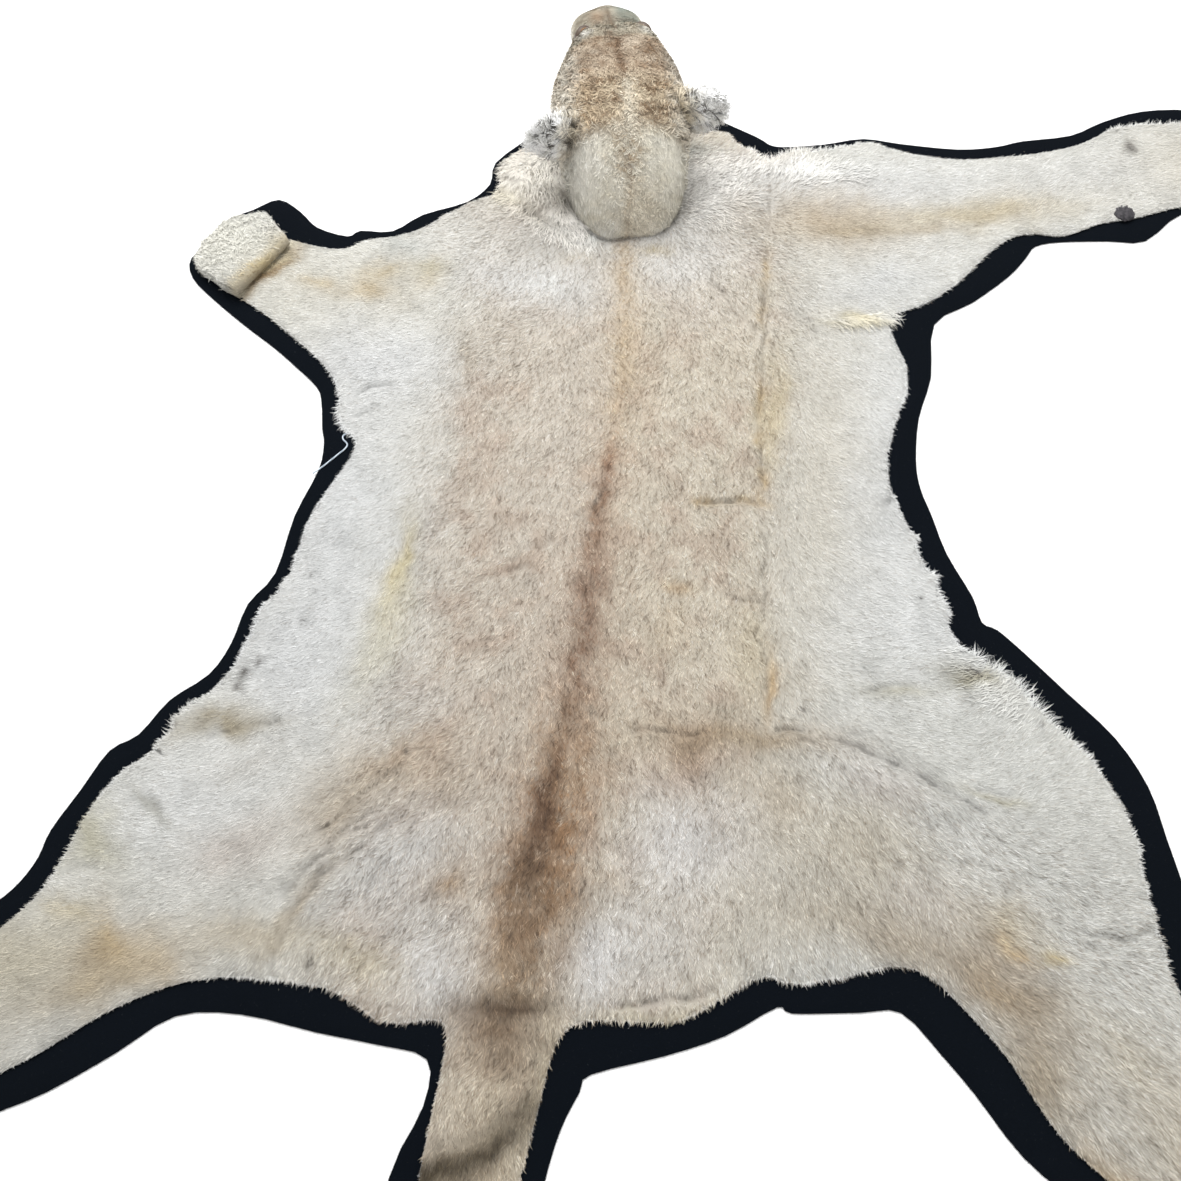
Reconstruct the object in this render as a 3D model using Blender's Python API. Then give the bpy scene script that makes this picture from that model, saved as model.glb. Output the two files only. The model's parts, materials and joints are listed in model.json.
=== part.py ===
"""A lion skin rug. The tanned hide lies flat with its hair up on a wider backing of black felt.

The mounted head rests its chin on the floor at the front, the left foreleg is folded back on itself,
and a loose end of thread lies on the felt below the left armpit. +Y runs up the spine to the head.
"""

import math
from collections import namedtuple

import bmesh
import bpy
from mathutils import Matrix, Vector, noise

# Driving dimensions, in metres
FELT_THICKNESS = 0.003
GAP = 0.0003
HIDE_BODY = 0.0085          # leather and lying pile together, on the back
HIDE_LEAST = 0.0045         # in the bottom of a parting
RIM_THICKNESS = 0.0042      # where the pile thins out to the cut edge
LOCK_TIP_THICKNESS = 0.0012
LATTICE = 0.036             # spacing of the hide's surface points
LUMP_SIZE = 0.12
LUMP_RISE = 0.0022
DIMPLE_SIZE = 0.05
DIMPLE_RISE = 0.0011
RIM_FADE = 0.030            # width over which folds and lumps die out towards the rim
LOCK_PITCH = 0.0165         # root to root along a shaggy edge
LOCK_LEAN = 0.40            # how far the tips lean towards the tail, as a share of their length
LOCK_LEAN_SPREAD = 0.30
LOCK_LENGTH_LEAST = 0.80    # the shortest to the longest lock, as a share of the edge's hair length
LOCK_LENGTH_SPREAD = 0.35
PLAIN_PITCH = 0.036         # spacing of points along a short haired edge
LEAST_HAIR = 0.006          # an edge with shorter hair than this is left plain
TOES = 4
TOE_BULGE = 0.011
TOE_FAN = math.radians(150.0)    # how far round the foot the toes reach
TOE_POINTS = 17
FELT_TOE_STEP = 4           # the felt follows each fourth of those points
FELT_STEPS = 3              # straight steps between two bends of the felt's edge

HEAD_TURN = math.radians(12.0)   # the head looks this far to the left of the spine
HEAD_NAPE = Vector((0.032, 1.205, 0.0))
HEAD_SIDES = 30
HEAD_STEPS = 3              # rings from one section of the head to the next
HEAD_FLATNESS_ACROSS = 0.8  # 1 would be a true ellipse, and less is boxier
HEAD_FLATNESS_UP = 0.9
EYE_RADIUS = 0.0165
EYE_PLACE = (0.304, 0.045, 0.1455)   # forward of the nape, out from the middle, up from the floor
EAR_WIDTH = 0.062
EAR_HEIGHT = 0.092          # with the root, which the head cuts off
EAR_THICKNESS = 0.028
EAR_HOLLOW = 1.35           # depth of the ear's cup, as a share of half its thickness

UP = Vector((0.0, 0.0, 1.0))
PAD_PLACE = Vector((0.838, 1.356))   # the bare pad behind the right wrist
PAD_RADIUS = 0.017
PAD_RISE = 0.004

FOLD_LAYER = 0.0070         # thickness of each layer of the folded leg
FOLD_APART = 0.0015
FOLD_SAG = 0.0058           # how far the top layer sinks from the roll to its tip
FOLD_LENGTH = 0.112         # from the roll to the tip of the fold
FOLD_CUT_WIDTH = 0.170      # of the strip before it is trimmed to the flap's plan
FOLD_CUT_MARGIN = 0.010
FOLD_CUT_HEIGHT = 0.060
FOLD_SAG_STEPS = 5
FOLD_TOP_END = 0.120        # past the flap's plan, which trims it
FOLD_START = 0.004          # where the folded strip leaves the flat leg, under the roll
FOLD_LIFT = 0.0002          # keeps the strip's underside off the leg's own
FOLD_ROLL_RADIUS = 0.0070   # of the middle line, where the top layer turns over
FOLD_BACK_END = Vector((-0.576, 1.016))
FOLD_FRONT_END = Vector((-0.517, 1.123))

THREAD_DIAMETER = 0.0024
THREAD_STEP = 0.0055

# Each row is one section across the hide. "left" and "right" are its two ends, seen from above with the
# head at the top. felt is how far the backing shows beyond that end (None where the backing's edge has no
# bend of its own), and hair is how far the locks stand out from it.
Section = namedtuple(
    "Section", "place left_x left_y right_x right_y left_felt right_felt left_hair right_hair"
)
# Across a leg the two ends are its front edge, towards the head, and its back edge, towards the tail.
Limb = namedtuple("Limb", "place front_x front_y back_x back_y front_felt back_felt front_hair back_hair")
Edge = namedtuple("Edge", "x y felt hair")
# A foot is a rounded end with four toes. heading is the way it points, in degrees from +X.
Foot = namedtuple("Foot", "x y radius heading felt")

NECK = [Section(*row) for row in (
    ("collar tip", -0.155, 1.380, 0.150, 1.458, 0.030, 0.034, 0.016, 0.020),
    ("collar", -0.187, 1.338, 0.200, 1.418, 0.028, 0.046, 0.026, 0.028),
    ("collar foot", -0.190, 1.285, 0.250, 1.393, 0.030, 0.048, 0.002, 0.002),
)]
TRUNK = [Section(*row) for row in (
    ("armpits", -0.336, 0.778, 0.450, 1.105, 0.055, 0.080, 0.000, 0.000),
    ("chest", -0.356, 0.715, 0.483, 0.995, 0.035, 0.042, 0.006, 0.014),
    ("ribs", -0.380, 0.640, 0.469, 0.929, 0.029, 0.038, 0.010, 0.014),
    ("last rib", -0.389, 0.545, 0.455, 0.850, 0.028, 0.048, 0.014, 0.006),
    ("waist", -0.416, 0.490, 0.457, 0.788, 0.030, 0.054, 0.012, 0.016),
    ("loin", -0.427, 0.430, 0.480, 0.738, 0.028, 0.050, 0.010, 0.024),
    ("flank", -0.448, 0.374, 0.503, 0.675, 0.030, 0.050, 0.012, 0.026),
    ("flank fold", -0.486, 0.326, 0.538, 0.612, 0.038, 0.051, 0.022, 0.018),
    ("thigh top", -0.514, 0.268, 0.546, 0.570, 0.042, 0.057, 0.018, 0.010),
)]
TAIL = [Section(*row) for row in (
    ("root", -0.066, -0.018, 0.080, -0.006, 0.054, 0.066, 0.000, 0.000),
    ("below the root", -0.064, -0.060, 0.061, -0.074, None, 0.044, 0.000, 0.000),
    ("upper", -0.069, -0.122, 0.054, -0.125, 0.013, 0.032, 0.000, 0.000),
    ("second quarter", -0.073, -0.205, 0.044, -0.195, 0.036, 0.029, 0.000, 0.000),
    ("middle", -0.078, -0.360, 0.020, -0.350, 0.036, 0.034, 0.000, 0.000),
    ("lower", -0.082, -0.520, 0.000, -0.515, 0.034, 0.034, 0.000, 0.000),
    ("above the tuft", -0.082, -0.640, -0.016, -0.640, 0.036, 0.034, 0.008, 0.008),
    ("tuft", -0.096, -0.715, -0.010, -0.715, 0.034, 0.034, 0.020, 0.020),
    ("tuft end", -0.088, -0.780, -0.028, -0.780, 0.034, 0.034, 0.022, 0.022),
)]
TAIL_TIP = Edge(-0.060, -0.808, 0.040, 0.024)
LEFT_FORELEG = [Limb(*row) for row in (
    ("shoulder", -0.240, 1.247, -0.366, 0.812, 0.014, 0.036, 0.018, 0.018),
    ("upper arm", -0.300, 1.198, -0.377, 0.860, 0.030, 0.036, 0.010, 0.014),
    ("elbow", -0.355, 1.166, -0.400, 0.893, 0.018, 0.032, 0.000, 0.004),
    ("forearm", -0.404, 1.158, -0.442, 0.930, 0.022, 0.034, 0.000, 0.000),
    ("wrist bend", -0.424, 1.131, -0.485, 0.962, 0.034, 0.034, 0.000, 0.000),
    ("wrist", -0.488, 1.134, -0.537, 0.998, 0.042, 0.036, 0.000, 0.000),
    ("under the fold", -0.545, 1.135, -0.586, 1.034, None, None, 0.000, 0.000),
)]
RIGHT_FORELEG = [Limb(*row) for row in (
    ("shoulder", 0.285, 1.418, 0.490, 1.122, 0.024, None, 0.018, 0.000),
    ("upper arm", 0.350, 1.429, 0.522, 1.142, 0.026, None, 0.020, 0.000),
    ("arm", 0.410, 1.453, 0.561, 1.177, 0.021, 0.040, 0.022, 0.000),
    ("elbow", 0.470, 1.446, 0.610, 1.243, 0.024, 0.052, 0.008, 0.000),
    ("forearm", 0.570, 1.440, 0.652, 1.288, 0.029, 0.046, 0.000, 0.000),
    ("middle of the forearm", 0.640, 1.455, 0.693, 1.302, 0.028, 0.026, 0.000, 0.000),
    ("wrist", 0.690, 1.466, 0.735, 1.294, 0.036, 0.004, 0.000, 0.000),
    ("pad", 0.775, 1.498, 0.800, 1.334, 0.028, 0.036, 0.000, 0.000),
    ("hand", 0.828, 1.538, 0.860, 1.350, 0.024, 0.044, 0.008, 0.000),
    ("broad of the hand", 0.897, 1.556, 0.936, 1.386, 0.038, 0.014, 0.010, 0.000),
    ("knuckles", 0.975, 1.574, 1.000, 1.390, 0.032, 0.030, 0.000, 0.000),
)]
RIGHT_HAND = Foot(1.022, 1.488, 0.083, 2.0, 0.026)
LEFT_HIND_LEG = [Limb(*row) for row in (
    ("haunch", -0.550, 0.241, -0.145, -0.027, 0.040, 0.032, 0.006, 0.012),
    ("thigh", -0.573, 0.196, -0.220, 0.002, 0.034, 0.056, 0.010, 0.008),
    ("lower thigh", -0.590, 0.140, -0.330, 0.002, 0.040, 0.046, 0.010, 0.008),
    ("knee", -0.602, 0.104, -0.420, -0.020, 0.034, 0.038, 0.000, 0.000),
    ("shank", -0.617, 0.064, -0.497, -0.065, 0.036, 0.050, 0.000, 0.000),
    ("hock", -0.647, 0.026, -0.567, -0.123, 0.036, 0.045, 0.000, 0.000),
    ("below the hock", -0.706, -0.030, -0.628, -0.160, 0.040, 0.042, 0.000, 0.000),
    ("ankle", -0.765, -0.072, -0.695, -0.210, 0.040, 0.040, 0.000, 0.000),
    ("foot", -0.832, -0.104, -0.752, -0.262, 0.040, 0.040, 0.000, 0.000),
)]
LEFT_HIND_FOOT = Foot(-0.826, -0.206, 0.078, 218.0, 0.030)
RIGHT_HIND_LEG = [Limb(*row) for row in (
    ("haunch", 0.574, 0.531, 0.192, 0.008, 0.070, 0.040, 0.026, 0.010),
    ("thigh", 0.622, 0.504, 0.255, 0.036, 0.060, 0.040, 0.028, 0.006),
    ("middle of the thigh", 0.675, 0.455, 0.320, 0.083, 0.060, 0.044, 0.018, 0.004),
    ("lower thigh", 0.735, 0.405, 0.352, 0.077, 0.056, 0.040, 0.008, 0.012),
    ("knee", 0.768, 0.355, 0.430, 0.095, 0.054, 0.048, 0.010, 0.008),
    ("shank", 0.787, 0.300, 0.506, 0.112, 0.050, 0.060, 0.014, 0.000),
    ("above the hock", 0.796, 0.238, 0.580, 0.056, 0.058, 0.060, 0.014, 0.000),
    ("hock", 0.816, 0.165, 0.628, 0.008, 0.054, 0.060, 0.010, 0.000),
    ("below the hock", 0.836, 0.108, 0.674, -0.058, 0.046, 0.050, 0.000, 0.000),
    ("long bone", 0.880, 0.040, 0.736, -0.106, 0.042, 0.044, 0.000, 0.000),
    ("ankle", 0.932, -0.032, 0.806, -0.158, 0.040, 0.040, 0.000, 0.000),
    ("foot", 1.002, -0.104, 0.862, -0.238, 0.040, 0.040, 0.000, 0.000),
)]
RIGHT_HIND_FOOT = Foot(0.966, -0.196, 0.080, -48.0, 0.030)
# The felt is cut a little wider round the folded paw, whose outer corner overhangs it.
PAW_FELT = [Edge(*row) for row in (
    (-0.520, 1.204, 0.0, 0.0),
    (-0.562, 1.226, 0.0, 0.0),
    (-0.600, 1.200, 0.0, 0.0),
    (-0.634, 1.176, 0.0, 0.0),
    (-0.650, 1.135, 0.0, 0.0),
    (-0.678, 1.090, 0.0, 0.0),
    (-0.666, 1.052, 0.0, 0.0),
    (-0.622, 1.014, 0.0, 0.0),
)]

# The plan of the folded paw, from the roll: out along the leg and along the roll from its back end. ragged is
# how far a tuft stands out halfway to the next corner.
FlapCorner = namedtuple("FlapCorner", "place out along ragged")
FLAP = [FlapCorner(*row) for row in (
    ("behind the roll, back", -0.030, 0.004, 0.0),
    ("side, back", 0.034, -0.002, 0.0),
    ("wrist, back", 0.066, 0.001, 0.004),
    ("outer toe, back", 0.094, 0.005, 0.004),
    ("tip, back", 0.109, 0.030, 0.004),
    ("tip", 0.1115, 0.060, 0.004),
    ("tip, front", 0.109, 0.104, 0.004),
    ("toe, front", 0.087, 0.124, 0.004),
    ("wrist, front", 0.066, 0.144, 0.0),
    ("side, front", 0.034, 0.133, 0.0),
    ("cut edge", 0.000, 0.123, 0.0),
    ("behind the roll, front", -0.030, 0.116, 0.0),
)]

# Raised or sunken lines in the pile: from one end to the other, the width of the line and its rise.
Crease = namedtuple("Crease", "place from_x from_y to_x to_y width rise")
CREASES = [Crease(*row) for row in (
    ("long parting, shoulder", 0.251, 1.390, 0.259, 1.240, 0.034, -0.0018),
    ("long parting, withers", 0.259, 1.240, 0.272, 1.050, 0.038, -0.0026),
    ("long parting, ribs", 0.272, 1.050, 0.268, 0.900, 0.034, -0.0020),
    ("long parting, last rib", 0.268, 0.900, 0.283, 0.740, 0.036, -0.0026),
    ("long parting, loin", 0.283, 0.740, 0.290, 0.560, 0.034, -0.0018),
    ("long parting, rump", 0.290, 0.560, 0.306, 0.390, 0.038, -0.0022),
    ("cross parting", 0.185, 0.733, 0.283, 0.749, 0.032, -0.0026),
    ("loin wrinkle", 0.132, 0.372, 0.340, 0.386, 0.054, 0.0030),
    ("haunch fold", 0.348, 0.388, 0.470, 0.330, 0.062, 0.0060),
    ("haunch fold, outer", 0.470, 0.330, 0.572, 0.308, 0.056, 0.0044),
    ("shoulder wrinkle", 0.152, 1.137, 0.254, 1.051, 0.048, 0.0026),
    ("left armpit fold", -0.356, 0.872, -0.246, 0.918, 0.054, 0.0044),
    ("left thigh wrinkle, outer", -0.330, 0.117, -0.136, 0.264, 0.058, 0.0044),
    ("left thigh wrinkle, inner", -0.290, 0.078, -0.170, 0.188, 0.054, 0.0034),
    ("right hock wrinkle", 0.700, 0.176, 0.808, 0.200, 0.050, 0.0036),
    ("right armpit fold", 0.360, 1.072, 0.446, 1.096, 0.048, 0.0034),
    ("root of the tail", -0.056, -0.004, 0.060, 0.004, 0.044, -0.0026),
    ("collar roll, outer", -0.176, 1.318, -0.108, 1.262, 0.070, 0.0170),
    ("collar roll, inner", -0.108, 1.262, -0.040, 1.214, 0.060, 0.0140),
    ("collar, right", 0.112, 1.240, 0.168, 1.350, 0.062, 0.0080),
)]
CREASE_LINES = 3            # lines of points along an ordinary crease, and along a broad one
BROAD_CREASE = 0.059
BROAD_CREASE_LINES = 5
# Broad low swells where the hide doesn't lie dead flat
Swell = namedtuple("Swell", "place x y radius rise")
SWELLS = [Swell(*row) for row in (
    ("left shoulder", -0.160, 1.060, 0.150, 0.0030),
    ("right shoulder", 0.210, 1.180, 0.150, 0.0028),
    ("left flank", -0.400, 0.360, 0.110, 0.0042),
    ("right flank", 0.470, 0.560, 0.130, 0.0044),
    ("left haunch", -0.330, 0.200, 0.160, 0.0034),
    ("right haunch", 0.520, 0.330, 0.170, 0.0038),
    ("spine hollow, front", 0.000, 0.900, 0.070, -0.0018),
    ("spine hollow, back", -0.010, 0.450, 0.080, -0.0018),
    ("rump", 0.000, 0.120, 0.120, 0.0026),
    ("right hand", 0.960, 1.480, 0.090, 0.0040),
    ("left hind foot", -0.840, -0.210, 0.080, 0.0040),
    ("right hind foot", 0.980, -0.190, 0.085, 0.0040),
)]

# The head, section by section from the nape to the nose: distance forward of the nape, half its width,
# the heights of its top, of its widest part and of its underside, and how wide it still is down there.
HeadSection = namedtuple("HeadSection", "place forward half top widest under jaw")
HEAD = [HeadSection(*row) for row in (
    ("nape", 0.004, 0.036, 0.034, 0.020, -0.010, 0.90),
    ("back of the neck", 0.018, 0.068, 0.078, 0.030, -0.010, 0.90),
    ("neck", 0.048, 0.090, 0.124, 0.045, -0.010, 0.90),
    ("top of the neck", 0.090, 0.098, 0.160, 0.060, -0.010, 0.90),
    ("ears", 0.132, 0.105, 0.188, 0.074, -0.010, 0.88),
    ("crown", 0.180, 0.110, 0.204, 0.080, -0.010, 0.84),
    ("forehead", 0.232, 0.102, 0.203, 0.078, -0.010, 0.80),
    ("brow", 0.276, 0.089, 0.190, 0.074, -0.010, 0.74),
    ("eyes", 0.312, 0.077, 0.163, 0.072, -0.010, 0.70),
    ("bridge of the nose", 0.348, 0.067, 0.145, 0.070, -0.010, 0.66),
    ("muzzle", 0.386, 0.062, 0.134, 0.070, -0.008, 0.62),
    ("whisker pads", 0.414, 0.058, 0.126, 0.070, -0.002, 0.60),
    ("nose", 0.432, 0.047, 0.115, 0.070, 0.010, 0.56),
    ("lips", 0.441, 0.032, 0.102, 0.070, 0.028, 0.60),
    ("tip of the nose", 0.445, 0.014, 0.088, 0.070, 0.050, 0.80),
)]
# Rises and hollows of the head, alike on both sides
HeadSwell = namedtuple("HeadSwell", "place forward out up radius rise")
HEAD_SWELLS = [HeadSwell(*row) for row in (
    ("brow", 0.284, 0.044, 0.182, 0.040, 0.0075),
    ("hollow before the eye", 0.326, 0.030, 0.156, 0.034, -0.0060),
    ("cheek", 0.236, 0.098, 0.076, 0.075, 0.0080),
    ("whisker pad", 0.414, 0.042, 0.080, 0.040, 0.0080),
    ("furrow of the forehead", 0.252, 0.000, 0.203, 0.046, -0.0050),
    ("chin", 0.428, 0.000, 0.014, 0.034, 0.0080),
    ("nose pad", 0.440, 0.000, 0.102, 0.026, 0.0050),
    ("corner of the mouth", 0.376, 0.060, 0.044, 0.034, -0.0050),
    ("root of the ear", 0.120, 0.082, 0.136, 0.044, 0.0070),
)]
Ear = namedtuple("Ear", "name side forward out up splay")
EARS = (
    Ear("ear_left", -1, 0.104, 0.106, 0.142, 62.0),
    Ear("ear_right", 1, 0.134, 0.112, 0.146, 58.0),
)
EAR_TURN = math.radians(20.0)    # the ear's cup faces forward and this far outwards

BED_TOP = FELT_THICKNESS + GAP + HIDE_BODY
SEAT_REACH = 0.6            # half size of the blocks that cut the head's seat and its base

THREAD_ROUTE = (            # from the hook at the armpit to the felt's outer edge
    (-0.3570, 0.7930), (-0.3620, 0.7905), (-0.3640, 0.7860), (-0.3620, 0.7805), (-0.3570, 0.7770),
    (-0.3540, 0.7720), (-0.3570, 0.7650), (-0.3640, 0.7560), (-0.3720, 0.7460), (-0.3800, 0.7360),
    (-0.3880, 0.7265), (-0.3960, 0.7180),
)

FELT_COLOUR = (0.006, 0.008, 0.013)
HIDE_COLOUR = (0.60, 0.50, 0.38)
HEAD_COLOUR = (0.52, 0.40, 0.27)
EAR_COLOUR = (0.42, 0.38, 0.33)
EYE_COLOUR = (0.20, 0.09, 0.02)
THREAD_COLOUR = (0.45, 0.50, 0.56)


def clear_scene():
    for ob in list(bpy.data.objects):
        bpy.data.objects.remove(ob)


def make_collection(name):
    made = bpy.data.collections.new(name)
    bpy.context.scene.collection.children.link(made)
    return made


def make_material(name, colour, roughness):
    material = bpy.data.materials.new(name)
    material.use_nodes = True
    shader = material.node_tree.nodes["Principled BSDF"]
    shader.inputs["Base Color"].default_value = (*colour, 1.0)
    shader.inputs["Roughness"].default_value = roughness
    return material


def add_object(name, data, collection, material=None):
    ob = bpy.data.objects.new(name, data)
    collection.objects.link(ob)
    if material:
        ob.data.materials.append(material)
    return ob


def make_cutter(name, mesh):
    ob = add_object(name, mesh, cutters)
    ob.hide_render = True
    ob.display_type = "WIRE"
    return ob


def add_boolean(ob, cutter, operation):
    modifier = ob.modifiers.new(cutter.name, "BOOLEAN")
    modifier.object = cutter
    modifier.operation = operation


def shade_round(ob):
    ob.data.shade_smooth()
    ob.data.set_sharp_from_angle(angle=math.radians(50.0))


def bm_to_mesh(bm, name):
    bmesh.ops.recalc_face_normals(bm, faces=bm.faces)
    mesh = bpy.data.meshes.new(name)
    bm.to_mesh(mesh)
    bm.free()
    return mesh


# The outline of the hide and of the felt

def limb_edges(sections, side):
    """The front or the back edge of a leg, from the body to the toes."""
    return [Edge(*(getattr(s, side + column) for column in ("_x", "_y", "_felt", "_hair"))) for s in sections]


def toe_edges(foot):
    """The scalloped end of a foot, round the toes from its right side to its left."""
    edges = []
    for k in range(TOE_POINTS):
        share = k / (TOE_POINTS - 1) - 0.5
        angle = math.radians(foot.heading) + share * TOE_FAN
        reach = foot.radius + TOE_BULGE * abs(math.sin(math.pi * TOES * share))
        felt = foot.felt if k % FELT_TOE_STEP == 0 else None
        edges.append(Edge(foot.x + reach * math.cos(angle), foot.y + reach * math.sin(angle), felt, 0.0))
    return edges


def leg_outline(sections, foot, front_first):
    first, second = ("front", "back") if front_first else ("back", "front")
    return limb_edges(sections, first) + toe_edges(foot) + limb_edges(sections, second)[::-1]


def rug_edges(paw_edges):
    """All the edge places in order, down the left side and up the right."""
    return (
        limb_edges(NECK, "left")
        + limb_edges(LEFT_FORELEG, "front")
        + paw_edges
        + limb_edges(LEFT_FORELEG, "back")[::-1]
        + limb_edges(TRUNK, "left")
        + leg_outline(LEFT_HIND_LEG, LEFT_HIND_FOOT, True)
        + limb_edges(TAIL, "left")
        + [TAIL_TIP]
        + limb_edges(TAIL, "right")[::-1]
        + leg_outline(RIGHT_HIND_LEG, RIGHT_HIND_FOOT, False)
        + limb_edges(TRUNK, "right")[::-1]
        + leg_outline(RIGHT_FORELEG, RIGHT_HAND, False)
        + limb_edges(NECK, "right")[::-1]
    )


def outward(points, index):
    """The direction square to the outline at a point of it, away from the hide."""
    along = (points[(index + 1) % len(points)] - points[index - 1]).normalized()
    return Vector((along.y, -along.x))


def spline_point(a, b, c, d, t):
    """A point of the smooth curve through b and c, whose neighbours are a and d."""
    return 0.5 * (
        2 * b + (c - a) * t + (2 * a - 5 * b + 4 * c - d) * t ** 2 + (3 * b - a - 3 * c + d) * t ** 3
    )


def felt_outline():
    edges = rug_edges(PAW_FELT)
    points = [Vector((e.x, e.y)) for e in edges]
    bends = [
        p + outward(points, i) * e.felt
        for i, (p, e) in enumerate(zip(points, edges)) if e.felt is not None
    ]
    outline = []
    for i, bend in enumerate(bends[:-1]):
        before = bends[max(i - 1, 0)]
        after = bends[min(i + 2, len(bends) - 1)]
        for k in range(FELT_STEPS):
            outline.append(spline_point(before, bend, bends[i + 1], after, k / FELT_STEPS))
    return outline + [bends[-1]]


def hide_outline():
    """The hide's cut edge with its locks, as points and the hide's thickness at each of them."""
    edges = rug_edges([])
    points = [Vector((e.x, e.y)) for e in edges]
    outline = []
    for i in range(len(edges) - 1):
        stretch = (points[max(i - 1, 0)], points[i], points[i + 1], points[min(i + 2, len(points) - 1)])
        hair, next_hair = edges[i].hair, edges[i + 1].hair
        shaggy = hair + next_hair >= 2 * LEAST_HAIR
        steps = max(1, round((points[i + 1] - points[i]).length / (LOCK_PITCH if shaggy else PLAIN_PITCH)))
        for k in range(steps):
            outline.append((spline_point(*stretch, k / steps), RIM_THICKNESS))
            if shaggy:
                t = (k + 0.5) / steps
                length = hair + (next_hair - hair) * t
                outline.append((lock_tip(stretch, t, length, 3 * i + k), LOCK_TIP_THICKNESS))
    return outline + [(points[-1], RIM_THICKNESS)]


def lock_tip(stretch, t, length, number):
    """The tip of one lock, which leans towards the tail and is longer or shorter than its neighbours."""
    along = (spline_point(*stretch, t + 0.1) - spline_point(*stretch, t - 0.1)).normalized()
    out = Vector((along.y, -along.x))
    towards_tail = -LOCK_LEAN + LOCK_LEAN_SPREAD * math.sin(2.7 * number)
    lean = along * along.dot(Vector((0.0, towards_tail)))
    reach = length * (LOCK_LENGTH_LEAST + LOCK_LENGTH_SPREAD * math.sin(4.1 * number + 0.7))
    return spline_point(*stretch, t) + (out + lean) * reach


# The felt

def make_felt():
    curve = bpy.data.curves.new("felt_backing", "CURVE")
    curve.dimensions = "2D"
    curve.fill_mode = "BOTH"
    curve.extrude = FELT_THICKNESS / 2
    outline = felt_outline()
    spline = curve.splines.new("POLY")
    spline.points.add(len(outline) - 1)
    for point, place in zip(spline.points, outline):
        point.co = (place.x, place.y, 0.0, 1.0)
    spline.use_cyclic_u = True
    felt = add_object("felt_backing", curve, rug, make_material("black_felt", FELT_COLOUR, 0.95))
    felt.location.z = FELT_THICKNESS / 2
    return felt


# The hide

def distance_to_line(place, start, end):
    along = end - start
    t = max(0.0, min(1.0, (place - start).dot(along) / along.length_squared))
    return (place - start - along * t).length


def bell(distance, width):
    """1 on the line, falling smoothly to 0 at the given distance."""
    t = min(1.0, distance / width)
    return (1 - t * t) ** 2


def hide_thickness(place, to_rim):
    lumps = noise.noise(Vector((place.x, place.y, 0.3)) / LUMP_SIZE) * LUMP_RISE
    dimples = noise.noise(Vector((place.x, place.y, 1.7)) / DIMPLE_SIZE) * DIMPLE_RISE
    rise = lumps + dimples
    for swell in SWELLS:
        rise += swell.rise * bell((place - Vector((swell.x, swell.y))).length, swell.radius)
    lines = [0.0]
    for crease in CREASES:
        start, end = Vector((crease.from_x, crease.from_y)), Vector((crease.to_x, crease.to_y))
        lines.append(crease.rise * bell(distance_to_line(place, start, end), crease.width / 2))
    rise += max(lines) + min(lines)
    rise += PAD_RISE * bell((place - PAD_PLACE).length, 1.6 * PAD_RADIUS)
    fade = min(1.0, to_rim / RIM_FADE)
    return max(HIDE_LEAST, HIDE_BODY + rise) * fade + RIM_THICKNESS * (1 - fade)


def flat_hide(outline):
    """One flat face with the hide's outline, from a filled curve."""
    curve = bpy.data.curves.new("hide_outline", "CURVE")
    curve.dimensions = "2D"
    curve.fill_mode = "BOTH"
    spline = curve.splines.new("POLY")
    spline.points.add(len(outline) - 1)
    for point, (place, _) in zip(spline.points, outline):
        point.co = (place.x, place.y, 0.0, 1.0)
    spline.use_cyclic_u = True
    guide = add_object("hide_outline", curve, cutters)
    filled = bpy.data.meshes.new_from_object(guide.evaluated_get(bpy.context.evaluated_depsgraph_get()))
    bpy.data.objects.remove(guide)
    bm = bmesh.new()
    bm.from_mesh(filled)
    bmesh.ops.remove_doubles(bm, verts=bm.verts, dist=1e-5)
    bmesh.ops.dissolve_faces(bm, faces=bm.faces)
    return bm


def cut_line(bm, place, normal, faces):
    """A line of points across the given faces."""
    edges = {edge for face in faces for edge in face.edges}
    verts = {vert for face in faces for vert in face.verts}
    bmesh.ops.bisect_plane(
        bm, geom=list(verts) + list(edges) + list(faces), dist=0.0004, plane_co=place, plane_no=normal
    )


def cut_lattice(bm):
    for axis in (0, 1):
        low = min(v.co[axis] for v in bm.verts)
        high = max(v.co[axis] for v in bm.verts)
        normal = Vector((1.0 - axis, float(axis), 0.0))
        for k in range(1, math.ceil((high - low) / LATTICE)):
            cut_line(bm, normal * (low + k * LATTICE), normal, list(bm.faces))


def cut_creases(bm):
    """Points along each crease, and along both its feet, so that its line is true."""
    for crease in CREASES:
        start, end = Vector((crease.from_x, crease.from_y, 0.0)), Vector((crease.to_x, crease.to_y, 0.0))
        side = (end - start).normalized().cross(UP)
        lines = BROAD_CREASE_LINES if crease.width > BROAD_CREASE else CREASE_LINES
        for k in range(lines):
            shift = side * crease.width * (k / (lines - 1) - 0.5)
            near = [
                f for f in bm.faces
                if distance_to_line(f.calc_center_median(), start + shift, end + shift) < 0.55 * LATTICE
            ]
            cut_line(bm, start + shift, side, near)


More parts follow.
